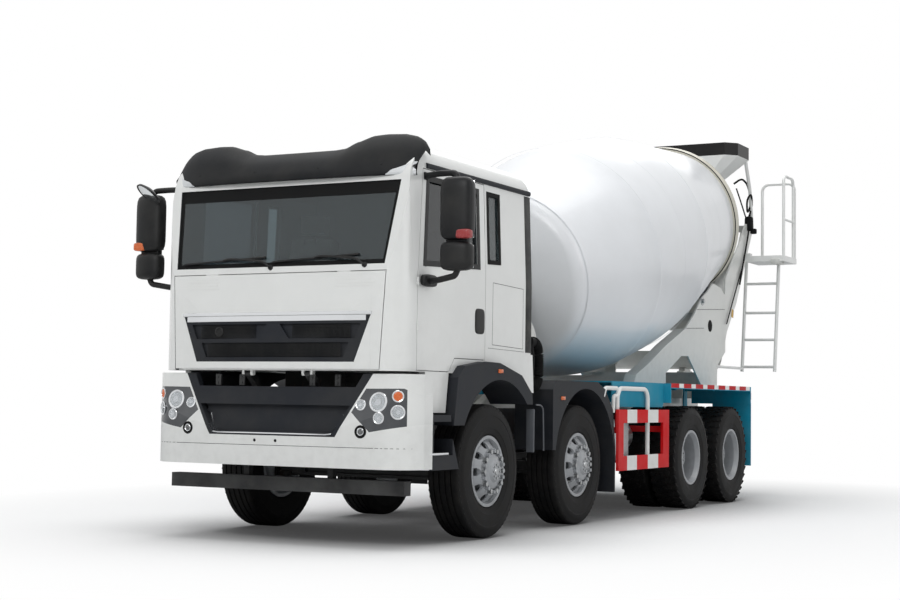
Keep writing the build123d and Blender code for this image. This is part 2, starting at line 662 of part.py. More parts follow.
# ---------------------------------------------------------------- cab
DOOR_FRONT = -1215
DOOR_REAR = -80
DOOR_OUTLINE = (
    (DOOR_FRONT, 1352), (-700, 1352), (-610, 1462), (DOOR_REAR, 1462), (DOOR_REAR, 2905),
    (-1105, 2905), (DOOR_FRONT, CAB_BELT - 60),
)
DOOR_WINDOW = ((-1120, 2165), (-190, 2210), (-190, 2845), (-1040, 2845))
REAR_WINDOW = ((-20, 2270), (190, 2280), (190, 2840), (-20, 2840))
SCREEN_OUTLINE = ((-975, 2150), (975, 2150), (1040, 2800), (-1040, 2800))
LID_OUTLINE = ((-990, 2095), (990, 2095), (950, 1352), (-950, 1352))
UPPER_GRILLE_OUTLINE = ((-873, 1765), (873, 1765), (736, 1406), (-736, 1406))
LID_HINGE = (-1440, 2097.8)


def cab_volume(inset, floor=CAB_FLOOR):
    """The filled form of the cab, shrunk by inset from its outer face."""
    half = CAB_HALF_WIDTH - inset
    rear = CAB_REAR - inset
    front = -1457 + inset
    plan = make_face([
        Line((half, rear), (half, -1235)),
        ThreePointArc((half, -1235), (1075 - inset * 0.7, -1390 + inset * 0.7), (873, front)),
        ThreePointArc((873, front), (0, front - 33), (-873, front)),
        ThreePointArc((-873, front), (-1075 + inset * 0.7, -1390 + inset * 0.7), (-half, -1235)),
        Line((-half, -1235), (-half, rear)),
        Line((-half, rear), (half, rear)),
    ])
    body = Pos(0, 0, 900) * extrude(plan, 2400)
    low = floor + inset
    top = CAB_ROOF - inset
    side = make_face([
        Line((0, -1500 + inset, low), (0, -1470 + inset, 1780)),
        Line((0, -1470 + inset, 1780), (0, -1440 + inset, 2130)),
        Line((0, -1440 + inset, 2130), (0, -1310 + inset, 2835)),
        ThreePointArc((0, -1310 + inset, 2835), (0, -1235 + inset * 0.7, 2975 - inset * 0.7),
                      (0, -1060, top - 85)),
        ThreePointArc((0, -1060, top - 85), (0, -300, top - 12), (0, 450, top)),
        ThreePointArc((0, 450, top), (0, 690, top - 60), (0, rear, top - 235)),
        Line((0, rear, top - 235), (0, rear, low)),
        Line((0, rear, low), (0, -1500 + inset, low)),
    ])
    body &= Pos(-1300, 0, 0) * extrude(side, 2600, dir=(1, 0, 0))
    crown = half - 30
    front_view = make_face([
        Line((half, 0, low), (half, 0, CAB_BELT)),
        Line((half, 0, CAB_BELT), (crown, 0, CAB_GUTTER)),
        ThreePointArc((crown, 0, CAB_GUTTER), (crown - 55, 0, top - 95), (crown - 210, 0, top - 35)),
        ThreePointArc((crown - 210, 0, top - 35), (0, 0, top + 5), (-crown + 210, 0, top - 35)),
        ThreePointArc((-crown + 210, 0, top - 35), (-crown + 55, 0, top - 95),
                      (-crown, 0, CAB_GUTTER)),
        Line((-crown, 0, CAB_GUTTER), (-half, 0, CAB_BELT)),
        Line((-half, 0, CAB_BELT), (-half, 0, low)),
        Line((-half, 0, low), (half, 0, low)),
    ])
    return body & (Pos(0, -1700, 0) * extrude(front_view, 2700, dir=(0, 1, 0)))


ZONE_X = 1050                # side zones start here and run outwards


def window_zone(outline, gap=0):
    """A prism through the cab's left wall, its outline grown by gap."""
    wire = make_face(Polyline(*[(y, z) for y, z in outline], close=True))
    if gap:
        wire = offset(wire, gap, kind=Kind.INTERSECTION)
    plane = Plane(origin=(ZONE_X, 0, 0), x_dir=(0, 1, 0), z_dir=(1, 0, 0))
    return extrude(plane * wire, 600)


def front_zone(outline, gap=0):
    """A prism through the cab's front, its (x, z) outline grown by gap."""
    wire = make_face(Polyline(*outline, close=True))
    if gap:
        wire = offset(wire, gap, kind=Kind.INTERSECTION)
    plane = Plane(origin=(0, -900, 0), x_dir=(1, 0, 0), z_dir=(0, -1, 0))
    return extrude(plane * wire, 900)


outer = cab_volume(0)
inner = cab_volume(CAB_WALL)
door_zone = window_zone(DOOR_OUTLINE)
door_hole = window_zone(DOOR_OUTLINE, PANEL_GAP)
shell = outer - inner
FRONT_SPLIT = -1000
FLOOR_TOP = CAB_FLOOR + CAB_WALL
FRONT_DEPTH = CAB_HALF_WIDTH - ZONE_X

floor_zone = box((-1300, 1300), (-1600, 1000), (CAB_FLOOR - 1, FLOOR_TOP))
roof_zone = box((-1300, 1300), (-1600, 1000), (CAB_GUTTER, 3300))
wall_zone = box((-1300, 1300), (-1600, 1000), (FLOOR_TOP, CAB_GUTTER))
front_wall_zone = box((-1300, 1300), (-1600, FRONT_SPLIT), (FLOOR_TOP, CAB_GUTTER))

TUNNEL_X = (-345, 345)
TUNNEL_Y = (-1150, 560)
TUNNEL_TOP = 1520
tunnel = box(TUNNEL_X, TUNNEL_Y, (FLOOR_TOP - 10, TUNNEL_TOP))
tunnel_hollow = box(
    (TUNNEL_X[0] + 25, TUNNEL_X[1] - 25), (TUNNEL_Y[0] + 25, TUNNEL_Y[1] - 25),
    (CAB_FLOOR - 5, TUNNEL_TOP - 25))
cab_floor = (outer & floor_zone) + tunnel - tunnel_hollow
LID_SKIN = 34
lid_hole = front_zone(LID_OUTLINE, PANEL_GAP)
lid_hole += box((-950, 950), (-1700, -1100), (CAB_FLOOR - 5, CAB_FLOOR + 20))
lid_hole &= outer - cab_volume(LID_SKIN + 8, CAB_FLOOR - 60)
cab_floor -= lid_hole
cab_floor -= door_hole
cab_floor -= opposite(door_hole)

front_wall = (outer & front_wall_zone) - cab_volume(FRONT_DEPTH, CAB_FLOOR - 60)
front_wall -= front_zone(SCREEN_OUTLINE)
front_wall -= lid_hole
front_wall -= door_hole
front_wall -= opposite(door_hole)

cab_shell = (shell & wall_zone) - front_wall_zone
cab_shell -= door_hole
cab_shell -= opposite(door_hole)
rear_window_zone = window_zone(REAR_WINDOW)
cab_shell -= rear_window_zone
cab_shell -= opposite(rear_window_zone)

cab_roof = shell & roof_zone

SKIRT_X = (1085, CAB_HALF_WIDTH)
WHEEL_ARCH_CENTRE = (80, 560)
WHEEL_ARCH_RADIUS = 740
skirt_front = side_plate(
    ((-1080, 1028), (-745, 1028), (-700, CAB_FLOOR), (-1080, CAB_FLOOR)), *SKIRT_X)
skirt_rear = side_plate(
    ((690, 1215), (870, 1200), (840, 1530), (CAB_REAR, 1530), (CAB_REAR, CAB_FLOOR),
     (640, CAB_FLOOR)), *SKIRT_X)
cab_shell += skirt_rear
cab_shell += opposite(skirt_rear)
cab_floor += skirt_front
cab_floor += opposite(skirt_front)

flare_outline = (
    (-740, 930), (-675, 1308), (-560, 1400), (-200, 1444), (60, 1440), (480, 1345), (690, 1190),
    (700, 1100), (420, 1100), (-300, 930),
)
flare = side_plate(flare_outline, CAB_HALF_WIDTH, 1215)
flare -= rod((1000, *WHEEL_ARCH_CENTRE), (1300, *WHEEL_ARCH_CENTRE), WHEEL_ARCH_RADIUS)
flare_inner = side_plate(flare_outline, 860, CAB_HALF_WIDTH)
flare_inner -= rod((800, *WHEEL_ARCH_CENTRE), (1300, *WHEEL_ARCH_CENTRE), WHEEL_ARCH_RADIUS)
flare_inner &= box((860, CAB_HALF_WIDTH), (-800, 720), (900, CAB_FLOOR))
flare_inner -= skirt_front
flare_inner -= skirt_rear

lug = rod((TILT_BRACKET_X[0] - 25, *CAB_PIVOT), (TILT_BRACKET_X[0] - 3, *CAB_PIVOT), TILT_EYE)
lug += rod((TILT_BRACKET_X[1] + 3, *CAB_PIVOT), (TILT_BRACKET_X[1] + 25, *CAB_PIVOT), TILT_EYE)
LUG_Y = (CAB_PIVOT[0] - TILT_EYE, CAB_PIVOT[0] + TILT_EYE)
for x in (TILT_BRACKET_X[0] - 25, TILT_BRACKET_X[1] + 3):
    lug += box((x, x + 22), LUG_Y, (CAB_PIVOT[1], FLOOR_TOP - 20))
lug += rod((TILT_BRACKET_X[0] - 25, *CAB_PIVOT), (TILT_BRACKET_X[1] + 25, *CAB_PIVOT), TILT_PIN_RADIUS)
lug -= lid_hole
cab_floor += lug
cab_floor += opposite(lug)
add("cab_floor", cab_floor)
add("cab_front", front_wall)
add("cab_shell", cab_shell)
add("cab_roof", cab_roof)
add("wheel_arch_flares", *both_sides(flare + flare_inner))

screen = (cab_volume(14) - cab_volume(14 + GLASS)) & front_zone(SCREEN_OUTLINE, -0.2)
side_pane = (cab_volume(12) - cab_volume(12 + GLASS)) & window_zone(REAR_WINDOW, -0.2)
add("cab_glass", screen, *both_sides(side_pane))

door = (outer - cab_volume(50, CAB_FLOOR - 200)) & door_zone
door -= window_zone(DOOR_WINDOW)
HANDLE_BAR = ((-240, 1790), (-95, 1790), (-95, 1825), (-240, 1825))
HANDLE_POCKET = ((-230, 1680), (-105, 1680), (-105, 1850), (-230, 1850))
door -= window_zone(HANDLE_POCKET) - cab_volume(28)
door += (outer - cab_volume(8)) & window_zone(HANDLE_BAR)
DOOR_HINGE = (1146, -1222)    # x and y of the hinge line
DOOR_HINGE_RADIUS = 5.7
for z in (1650, 2000):
    door += Pos(*DOOR_HINGE, z + 30) * Cylinder(DOOR_HINGE_RADIUS, 60)
    strap_y = (DOOR_HINGE[1] + 1.5, DOOR_HINGE[1] + 27)
    door += box((CAB_HALF_WIDTH - 1, DOOR_HINGE[0] + 2), strap_y, (z, z + 60))
door_glass = (cab_volume(20) - cab_volume(20 + GLASS)) & window_zone(DOOR_WINDOW, -0.2)
add("door_left", door)
add("door_right", opposite(door))
add("door_glass_left", door_glass)
add("door_glass_right", opposite(door_glass))

MIRROR_Y = -1185
mirror_arm = pipe(((1105, MIRROR_Y + 125, 2850), (1470, MIRROR_Y, 2820), (1470, MIRROR_Y, 2060),
                   (1150, MIRROR_Y + 20, 2030)), 14, 60)
MIRROR_TABLE = (
    # z low, z high
    (2250, 2740),
    (2075, 2225),
)
mirrors = mirror_arm
for low, high in MIRROR_TABLE:
    case = box((1345, 1585), (MIRROR_Y - 55, MIRROR_Y + 65), (low, high))
    mirrors += fillet(case.edges(), 26)
mirrors += box((1128, 1150), (MIRROR_Y - 20, MIRROR_Y + 60), (2000, 2060))
mirrors += box((1095, 1130), (MIRROR_Y + 90, MIRROR_Y + 150), (2825, 2875))
mirrors -= door
add("mirrors_left", mirrors)
look_down = Pos(-1390, -1330, 2800) * Rot(70, 0, 20) * Cylinder(115, 60)
look_arm = rod((-1460, MIRROR_Y, 2800), (-1400, -1310, 2800), 13)
add("mirrors_right", opposite(mirrors) + look_down + look_arm)

lid_zone = front_zone(LID_OUTLINE)
lid = (outer - cab_volume(LID_SKIN, CAB_FLOOR - 60)) & lid_zone
grille_hole = front_zone(UPPER_GRILLE_OUTLINE)
lid -= grille_hole
for x in (-620, 620):
    lid += rod((x - 60, *LID_HINGE), (x + 60, *LID_HINGE), 3)
add("front_lid", lid)
grille_body = (cab_volume(0) - cab_volume(34)) & front_zone(UPPER_GRILLE_OUTLINE, -0.2)
for outline in (
    ((-790, 1700), (-60, 1700), (-150, 1585), (-740, 1585)),
    ((790, 1700), (60, 1700), (150, 1585), (740, 1585)),
    ((-690, 1555), (690, 1555), (640, 1440), (-640, 1440)),
):
    grille_body -= front_zone(outline) - cab_volume(22)
add("upper_grille", grille_body & box((-1300, 1300), (-1600, -1200), (1300, 2000)))

visor_side = (
    (-1330, 2832), (-1372, 2832), (-1360, 2890), (-1150, 3110), (-1020, 3150), (-1010, 3085),
    (-1120, 3050), (-1290, 2900),
)
visor = side_plate(visor_side, -1140, 1140)
visor += side_plate(((-1200, 3040), (-1150, 3195), (-1105, 3205), (-1020, 3130)), -1120, -560)
visor += side_plate(((-1200, 3040), (-1150, 3195), (-1105, 3205), (-1020, 3130)), 560, 1120)
visor_plan = flat_plate(((-1150, -1240), (-1000, -1320), (-600, -1372), (600, -1372),
                         (1000, -1320), (1150, -1240), (1150, -900), (-1150, -900)), 2700, 3300)
visor = (visor & visor_plan) - cab_volume(0)
add("roof_visor", visor)

dash = side_plate(((-1330, 1900), (-1300, 2080), (-1000, 2080), (-850, 1980), (-870, 1800),
                   (-1100, 1700)), -1040, 1040) & cab_volume(FRONT_DEPTH + 1)
dash += box((-1000, 1000), (-1330, -1230), (FLOOR_TOP + 200, 1920)) & cab_volume(FRONT_DEPTH + 1)
column = rod((520, -1100, 1850), (520, -800, 2010), 38)
wheel_ring = Pos(520, -790, 2015) * Rot(62, 0, 0) * Torus(220, 16)
spokes = [Pos(520, -790, 2015) * Rot(62, 0, 0) * Rot(0, 0, 120 * i + 90) * Pos(110, 0, 0) * Box(220, 40, 16)
          for i in range(3)]
add("dashboard", dash + column + wheel_ring + spokes)

SEAT_X = 600


def seat(x):
    """A cab seat with pedestal cushion, back and headrest in one solid."""
    body = box((x - 240, x + 240), (-560, -60), (FLOOR_TOP, 1860))
    body -= box((x - 250, x + 250), (-570, -480), (FLOOR_TOP - 1, 1700))
    body += side_plate(((-150, 1800), (-60, 1800), (80, 2560), (-20, 2560)), x - 230, x + 230)
    return body + side_plate(((-15, 2540), (65, 2540), (90, 2740), (20, 2740)), x - 140, x + 140)


bunk = box((-1060, 1060), (215, 740), (FLOOR_TOP + 150, 1880))
add("seats", seat(SEAT_X), seat(-SEAT_X), bunk + box((-900, 900), (600, 740), (FLOOR_TOP, FLOOR_TOP + 160)))

# ---------------------------------------------------------------- drum and its drive
AXIS_DIR = (0, cos(radians(DRUM_TILT)), sin(radians(DRUM_TILT)))
DRUM_PLACE = Plane(origin=(0, RING_Y, RING_Z), x_dir=(1, 0, 0), z_dir=AXIS_DIR)

HEAD_RADIUS = 240
# columns: distance from the ring along the axis, outer radius
DRUM_PROFILE = (
    (-4800, HEAD_RADIUS),
    (-4700, 820),
    (-4610, 905),
    (-3464, DRUM_RADIUS),
    (-2004, DRUM_RADIUS),
    (-60, 918),
    (60, 895),
    (470, 640),
)


def drum_shell():
    """The turned shell of the drum, open at its rear mouth."""
    outside = list(DRUM_PROFILE)
    inside = [(s, r - DRUM_WALL) for s, r in reversed(DRUM_PROFILE[2:])]
    inside.append((DRUM_PROFILE[1][0] + DRUM_WALL, DRUM_PROFILE[1][1] - DRUM_WALL))
    inside.append((DRUM_PROFILE[0][0] + DRUM_WALL, 0))
    inside.append((DRUM_PROFILE[0][0], 0))
    outline = make_face(Polyline(*[(r, 0, s) for s, r in outside + inside], close=True))
    return revolve(outline, Axis.Z)


def roller_ring():
    """The forged ring that the drum rolls on, with its two welded feet."""
    half = RING_WIDTH / 2
    outline = make_face(Polyline(*[(r, 0, s) for r, s in (
        (RING_RADIUS, half), (RING_RADIUS, -half), (RING_RADIUS - 16, -half),
        (919, -half), (896, half))], close=True))
    return revolve(outline, Axis.Z)


def roller(side):
    """A support roller with its axle stubs, its axis parallel to the drum's."""
    reach = RING_RADIUS + ROLLER_RADIUS + ROLLER_GAP
    place = Pos(side * reach * sin(radians(ROLLER_ANGLE)), reach * cos(radians(ROLLER_ANGLE)), 0)
    wheel = Cylinder(ROLLER_RADIUS, RING_WIDTH + 10) + Cylinder(ROLLER_AXLE_RADIUS, RING_WIDTH + 110)
    return DRUM_PLACE * place * wheel


ROLLER_AXLE_RADIUS = 35
MOTOR_BACK = -4800
add("drum_shell", DRUM_PLACE * drum_shell())
add("roller_ring", DRUM_PLACE * roller_ring())
for side_name, side in SIDES:
    add(f"support_roller_{side_name}", roller(side))

FLANGE_GAP = 0.5
gearbox = Pos(0, 0, MOTOR_BACK - FLANGE_GAP - 20) * Cylinder(215, 40)
gearbox += Pos(0, 0, MOTOR_BACK - FLANGE_GAP - 40 - 110) * Cylinder(175, 220)
gearbox += Pos(0, 0, MOTOR_BACK - FLANGE_GAP - 40 - 220 - 90) * Cylinder(110, 180)
gearbox += Pos(0, 90, MOTOR_BACK - FLANGE_GAP - 40 - 220 - 60) * Box(200, 120, 120)
add("drum_gearbox", DRUM_PLACE * gearbox)

gearbox_seat = DRUM_PLACE * Pos(0, 0, MOTOR_BACK - FLANGE_GAP - 40 - 110)
seat_y = gearbox_seat.position.Y
seat_z = gearbox_seat.position.Z

# ---------------------------------------------------------------- mixer subframe
BEAM_X = (FRAME_HALF_WIDTH - 80, FRAME_HALF_WIDTH)
SUBFRAME_REAR = FRAME_REAR


def mixer_subframe():
    """Longitudinal beams with cross members and the pedestal of the drum's drive."""
    beam = side_plate(
        ((SUBFRAME_FRONT, FRAME_TOP), (SUBFRAME_FRONT + 300, SUBFRAME_TOP),
         (SUBFRAME_REAR, SUBFRAME_TOP), (SUBFRAME_REAR, FRAME_TOP)), *BEAM_X)
    body = beam + opposite(beam)
    for y in (SUBFRAME_FRONT + 340, 2100, 2620, 3700, 4700, 5900, SUBFRAME_REAR - 60):
        body += box((-BEAM_X[0], BEAM_X[0]), (y - 40, y + 40), (FRAME_TOP + 20, SUBFRAME_TOP - 10))
    cheek = side_plate(
        ((seat_y - 330, SUBFRAME_TOP), (seat_y + 360, SUBFRAME_TOP), (seat_y + 110, seat_z - 60),
         (seat_y - 110, seat_z - 60)), BEAM_X[0], BEAM_X[0] + 16)
    body += cheek
    body += opposite(cheek)
    body += box((-BEAM_X[0] - 16, BEAM_X[0] + 16), (seat_y - 110, seat_y + 110), (seat_z - 230, seat_z - 100))
    body += box((-260, 260), (seat_y - 60, seat_y + 60), (seat_z - 110, seat_z + 20))
    body -= DRUM_PLACE * Pos(0, 0, MOTOR_BACK - FLANGE_GAP - 40 - 110) * Cylinder(175, 260)
    body -= DRUM_PLACE * Pos(0, 0, MOTOR_BACK - FLANGE_GAP - 20) * Cylinder(216, 50)
    body -= DRUM_PLACE * Pos(0, 90, MOTOR_BACK - FLANGE_GAP - 40 - 280) * Box(202, 122, 122)
    return body



# ---------------------------------------------------------------- rear pedestal
PEDESTAL_X = 740
PEDESTAL_PLATE = 20
PEDESTAL_FOOT = REAR_WING_TOP + 8
# (y, z) outline of a side plate, from the foot of its front brace round to its rear edge
PEDESTAL_OUTLINE = (
    (4250, PEDESTAL_FOOT), (4300, 1430), (4680, 1560), (5200, 1775), (5845, 1995), (6150, 2180),
    (6400, 2380), (6620, 2480), (6820, 2590), (7090, 2560), (7262, 2480), (7290, 2690),
    (7843, 3173), (8104, 3455), (8433, 3455), (8108, 2975), (7724, 2406), (7347, 2020),
    (7294, 1910), (7294, 1773), (6990, 1600), (6978, PEDESTAL_FOOT),
)
NOTCH_OUTLINE = ((5204, PEDESTAL_FOOT - 20), (5204, 1467), (5705, 1672), (5942, 1679),
                 (6437, PEDESTAL_FOOT - 20))
HOLE_AT = (6709, 2068)
HOLE_RADIUS = 58
x_out = PEDESTAL_X
x_in = PEDESTAL_X - PEDESTAL_PLATE


def pedestal_side():
    """The left side plate with its flanges, lightening hole and roller bearings."""
    plate = side_plate(PEDESTAL_OUTLINE, x_in, x_out)
    plate -= side_plate(NOTCH_OUTLINE, x_in - 1, x_out + 1)
    plate -= rod((x_in - 1, *HOLE_AT), (x_out + 1, *HOLE_AT), HOLE_RADIUS)
    lower = side_plate(
        ((4250, PEDESTAL_FOOT), (4300, 1430), (4680, 1560), (5200, 1775), (5845, 1995),
         (5860, 1965), (5215, 1745), (4695, 1530), (4340, PEDESTAL_FOOT + 20), (5204, PEDESTAL_FOOT + 20),
         (5204, PEDESTAL_FOOT)), x_in - 110, x_in)
    rear = side_plate(
        ((6978, PEDESTAL_FOOT), (6990, 1600), (7294, 1773), (7294, 1910), (7347, 2020), (7724, 2406),
         (8108, 2975), (8433, 3455), (8400, 3455), (8085, 2985), (7700, 2425), (7325, 2035),
         (7268, 1915), (7268, 1788), (6960, 1615), (6950, PEDESTAL_FOOT)), x_in - 130, x_in)
    return plate + lower + rear


roller_reach = RING_RADIUS + ROLLER_RADIUS + ROLLER_GAP
roller_x = roller_reach * sin(radians(ROLLER_ANGLE))
roller_drop = roller_reach * cos(radians(ROLLER_ANGLE))


SADDLE_GAP = 12
SADDLE_DEPTH = 50


def roller_bearing(side):
    """Two bearing blocks round a roller's axle stubs, on a saddle."""
    saddle_y = roller_drop + ROLLER_RADIUS + SADDLE_GAP + SADDLE_DEPTH / 2
    body = Pos(side * (roller_x - 5), saddle_y, 0) * Box(150, SADDLE_DEPTH, RING_WIDTH + 150)
    for end in (-1, 1):
        along = end * (RING_WIDTH / 2 + 35)
        body += Pos(side * roller_x, roller_drop + 60, along) * Box(120, 230, 34)
    body -= Pos(side * roller_x, roller_drop, 0) * Cylinder(ROLLER_AXLE_RADIUS + 0.05, 400)
    return DRUM_PLACE * body


def rear_pedestal():
    """Both side plates, their cross beams, roller saddles and the foot beams."""
    side = pedestal_side()
    body = side + opposite(side)
    body += box((-x_in, x_in), (6560, 6760), (PEDESTAL_FOOT, PEDESTAL_FOOT + 160))
    body += box((-x_in, x_in), (4400, 4560), (PEDESTAL_FOOT, PEDESTAL_FOOT + 80))
    body += box((-BEAM_X[1] , BEAM_X[1]), (4420, 4540), (SUBFRAME_TOP, PEDESTAL_FOOT))
    body += box((-BEAM_X[1] , BEAM_X[1]), (6600, 6740), (SUBFRAME_TOP, PEDESTAL_FOOT))
    beam_y = roller_drop + ROLLER_RADIUS + SADDLE_GAP + SADDLE_DEPTH + 50
    body += DRUM_PLACE * Pos(0, beam_y, 0) * Box(2 * x_in, 100, 220)
    body += roller_bearing(1)
    body += roller_bearing(-1)
    body += box((-x_in, x_in), (8290, 8370), (3375, 3455))
    return body



# ---------------------------------------------------------------- hopper and funnel
HOPPER_TOP = 4430
HOPPER_RIM = 160
HOPPER_WALL = 12
HOPPER_REACH = 500           # mean distance from the hopper's middle to its rim
HOPPER_MIDDLE = 7905
# (x, y) outline of the hopper's rim about its middle
HOPPER_PLAN = (
    (-790, -290), (-660, -425), (660, -425), (790, -290), (790, 155), (560, 425), (-560, 425),
    (-790, 155),
)
# columns: height, scale of the outline, y of the middle
HOPPER_SECTIONS = (
    (HOPPER_TOP, 1.0, HOPPER_MIDDLE),
    (HOPPER_TOP - HOPPER_RIM, 1.0, HOPPER_MIDDLE),
    (3800, 0.40, 7670),
    (3450, 0.33, 7560),
)


def hopper_form(inset, reach):
    """The hopper's filled form, shrunk by inset and reaching past both ends by reach."""
    faces = []
    form = None
    last = len(HOPPER_SECTIONS) - 1
    for i, (z, scale, middle) in enumerate(HOPPER_SECTIONS):
        z += reach * ((i == 0) - (i == last))
        inner_scale = scale - inset / HOPPER_REACH
        points = [(x * inner_scale, middle + y * inner_scale, z) for x, y in HOPPER_PLAN]
        faces.append(make_face(Polyline(*points, close=True)))
    for lower, upper in zip(faces, faces[1:]):
        part = loft([lower, upper], ruled=True)
        form = part if form is None else form + part
    return form


STAY_RADIUS = 22
STAY_X = PEDESTAL_X + STAY_RADIUS
hopper_body = hopper_form(0, 0) - hopper_form(HOPPER_WALL, 6)
stay = pipe(((STAY_X, 7990, 4300), (STAY_X, 8200, 3900), (STAY_X, 8300, 3400)), STAY_RADIUS, 260)
hopper_body += stay
hopper_body += opposite(stay)
add("feed_hopper", hopper_body)

funnel = front_plate(((-640, 3060), (-560, 3060), (-190, 2080), (-250, 2080)), 7640, 8120)
funnel += opposite(funnel)
back = front_plate(((-640, 3060), (640, 3060), (250, 2080), (-250, 2080)), 8100, 8120)
funnel += back
funnel += box((-740, 740), (7960, 8010), (2900, 2960)) - front_plate(
    ((-600, 3060), (600, 3060), (225, 2080), (-225, 2080)), 7640, 8100)
pedestal = rear_pedestal() + funnel
add("rear_pedestal", pedestal)

# ---------------------------------------------------------------- chute
CHUTE_PIVOT = (0, 7880)
CHUTE_HINGE_Z = 1480
SWIVEL_POST = 60
chute_bracket = box((-160, 160), (FRAME_REAR, 8020), (1240, 1300))
chute_bracket += box(
    (-FRAME_HALF_WIDTH, FRAME_HALF_WIDTH), (FRAME_REAR, FRAME_REAR + 20), (FRAME_TOP - 70, 1300))
chute_bracket += Pos(0, CHUTE_PIVOT[1], 1330) * Cylinder(100, 120)
chute_bracket -= Pos(0, CHUTE_PIVOT[1], 1330) * Cylinder(SWIVEL_POST + 0.05, 400)
add("mixer_subframe", mixer_subframe() + chute_bracket)

swivel = Pos(0, CHUTE_PIVOT[1], 1345) * Cylinder(SWIVEL_POST, 170)
swivel += Pos(0, CHUTE_PIVOT[1], 1410) * Cylinder(130, 28)
ears = [Pos(0, CHUTE_PIVOT[1] + end * 150, CHUTE_HINGE_Z) * Box(90, 24, 130) for end in (1, -1)]
swivel += Pos(0, CHUTE_PIVOT[1], 1418) * Box(90, 324, 20)
swivel += ears
swivel -= rod((0, CHUTE_PIVOT[1] - 300, CHUTE_HINGE_Z), (0, CHUTE_PIVOT[1] + 300, CHUTE_HINGE_Z), 22.05)
add("chute_swivel", swivel)

CHUTE_HALF_WIDTH = 265
CHUTE_LENGTH = 1550
CHUTE_HEEL = 420             # how far the trough reaches behind its pivot
CHUTE_PLATE = 6


def trough(length, half_width, depth):
    """A round-bottomed chute along -X, its bottom line on z = 0."""
    plane = Plane(origin=(0, 0, 0), x_dir=(0, -1, 0), z_dir=(-1, 0, 0))
    radius = half_width
    outline = Circle(radius) - Circle(radius - CHUTE_PLATE)
    keep = Pos(0, -radius + depth / 2 - 1) * Rectangle(3 * radius, depth + 2)
    section = Pos(0, radius) * (outline & keep)
    return extrude(plane * section, length)


chute = Pos(CHUTE_HEEL, CHUTE_PIVOT[1], CHUTE_HINGE_Z + 90) * trough(CHUTE_LENGTH, CHUTE_HALF_WIDTH, 230)
CHUTE_BOSS_X = (-40, 40)
boss_z = (CHUTE_HINGE_Z - 26, CHUTE_HINGE_Z + 26)
chute += box(CHUTE_BOSS_X, (CHUTE_PIVOT[1] - 130, CHUTE_PIVOT[1] + 130), boss_z)
neck_z = (CHUTE_HINGE_Z, CHUTE_HINGE_Z + 100)
chute += box(CHUTE_BOSS_X, (CHUTE_PIVOT[1] - 110, CHUTE_PIVOT[1] + 110), neck_z)
chute += rod((0, CHUTE_PIVOT[1] - 185, CHUTE_HINGE_Z), (0, CHUTE_PIVOT[1] + 185, CHUTE_HINGE_Z), 22)
add("main_chute", chute)

# ---------------------------------------------------------------- ladder and tanks
LADDER_X = (670, 1100)
LADDER_FOOT = (8180, 1550)
LADDER_HEAD = (8360, 3010)
PLATFORM_Z = (2960, 3030)
ladder = None
for x in LADDER_X:
    stile = rod((x, *LADDER_FOOT), (x, *LADDER_HEAD), 22)
    ladder = stile if ladder is None else ladder + stile
for z in (1610, 1960, 2310, 2690):
    y = LADDER_FOOT[0] + (z - LADDER_FOOT[1]) / (LADDER_HEAD[1] - LADDER_FOOT[1]) * (
        LADDER_HEAD[0] - LADDER_FOOT[0])
    ladder += rod((LADDER_X[0], y, z), (LADDER_X[1], y, z), 18)
platform = box((PEDESTAL_X, 1250), (8090, REAR_END), PLATFORM_Z)
platform += box((PEDESTAL_X, 800), (8090, 8180), (PLATFORM_Z[0], PLATFORM_Z[1] + 40))
ladder += platform
rail_points = ((1230, 8560, PLATFORM_Z[1] - 10), (1230, 8560, 4060), (1230, 8130, 4060),
               (1230, 8130, PLATFORM_Z[1] - 10))
ladder += pipe(rail_points, 19, 90)
ladder += rod((1230, 8130, 3500), (1230, 8560, 3500), 15)
ladder += pipe(((800, 8620, PLATFORM_Z[1] - 10), (800, 8620, 4020), (1230, 8620, 4020),
                (1230, 8620, PLATFORM_Z[1] - 10)), 19, 90)
ladder += box((1200, 1250), (8540, 8640), PLATFORM_Z)
ladder += rod((LADDER_X[0] - 10, 6970, 1590), (LADDER_X[0], 8185, 1590), 18)
ladder -= pedestal
add("access_ladder", ladder)

water_tank = rod((-780, 1440, 1640), (780, 1440, 1640), 255)
water_tank += box((-600, -540), (1300, 1580), (SUBFRAME_TOP - 10, 1500))
water_tank += box((540, 600), (1300, 1580), (SUBFRAME_TOP - 10, 1500))
for x in (-570, 570):
    water_tank += box(sorted_pair(x, x - 145 if x > 0 else x + 145), (1500, 1570), (SUBFRAME_TOP - 10, SUBFRAME_TOP + 40))
add("water_tank", water_tank)

fuel = fillet(box((-1130, -520), (2700, 3800), (520, 1040)).edges(), 60)
fuel += box((-530, -FRAME_HALF_WIDTH), (2850, 2930), (700, 980))
fuel += box((-530, -FRAME_HALF_WIDTH), (3570, 3650), (700, 980))
battery = box((600, 1080), (2720, 3240), (560, 960)) + box((FRAME_HALF_WIDTH, 610), (2900, 3000), (800, 900))
air = rod((760, 3320, 780), (760, 3790, 780), 150) + box((FRAME_HALF_WIDTH, 760), (3480, 3700), (800, 860))
add("side_tanks", fuel, battery, air)

# ---------------------------------------------------------------- export
os.makedirs("parts", exist_ok=True)
for name, solids in nodes.items():
    node = Compound(children=[Pos(0, SHIFT_Y, 0) * solid for solid in solids])
    node.label = name
    export_step(node, f"parts/{name}.step")
print(len(nodes), "nodes")
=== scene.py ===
"""Concrete mixer truck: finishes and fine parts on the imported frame, in metres."""
import logging
import math
from dataclasses import dataclass
from enum import Enum
from typing import Optional, Sequence

import bmesh
import bpy
from mathutils import Matrix, Vector
from mathutils.bvhtree import BVHTree


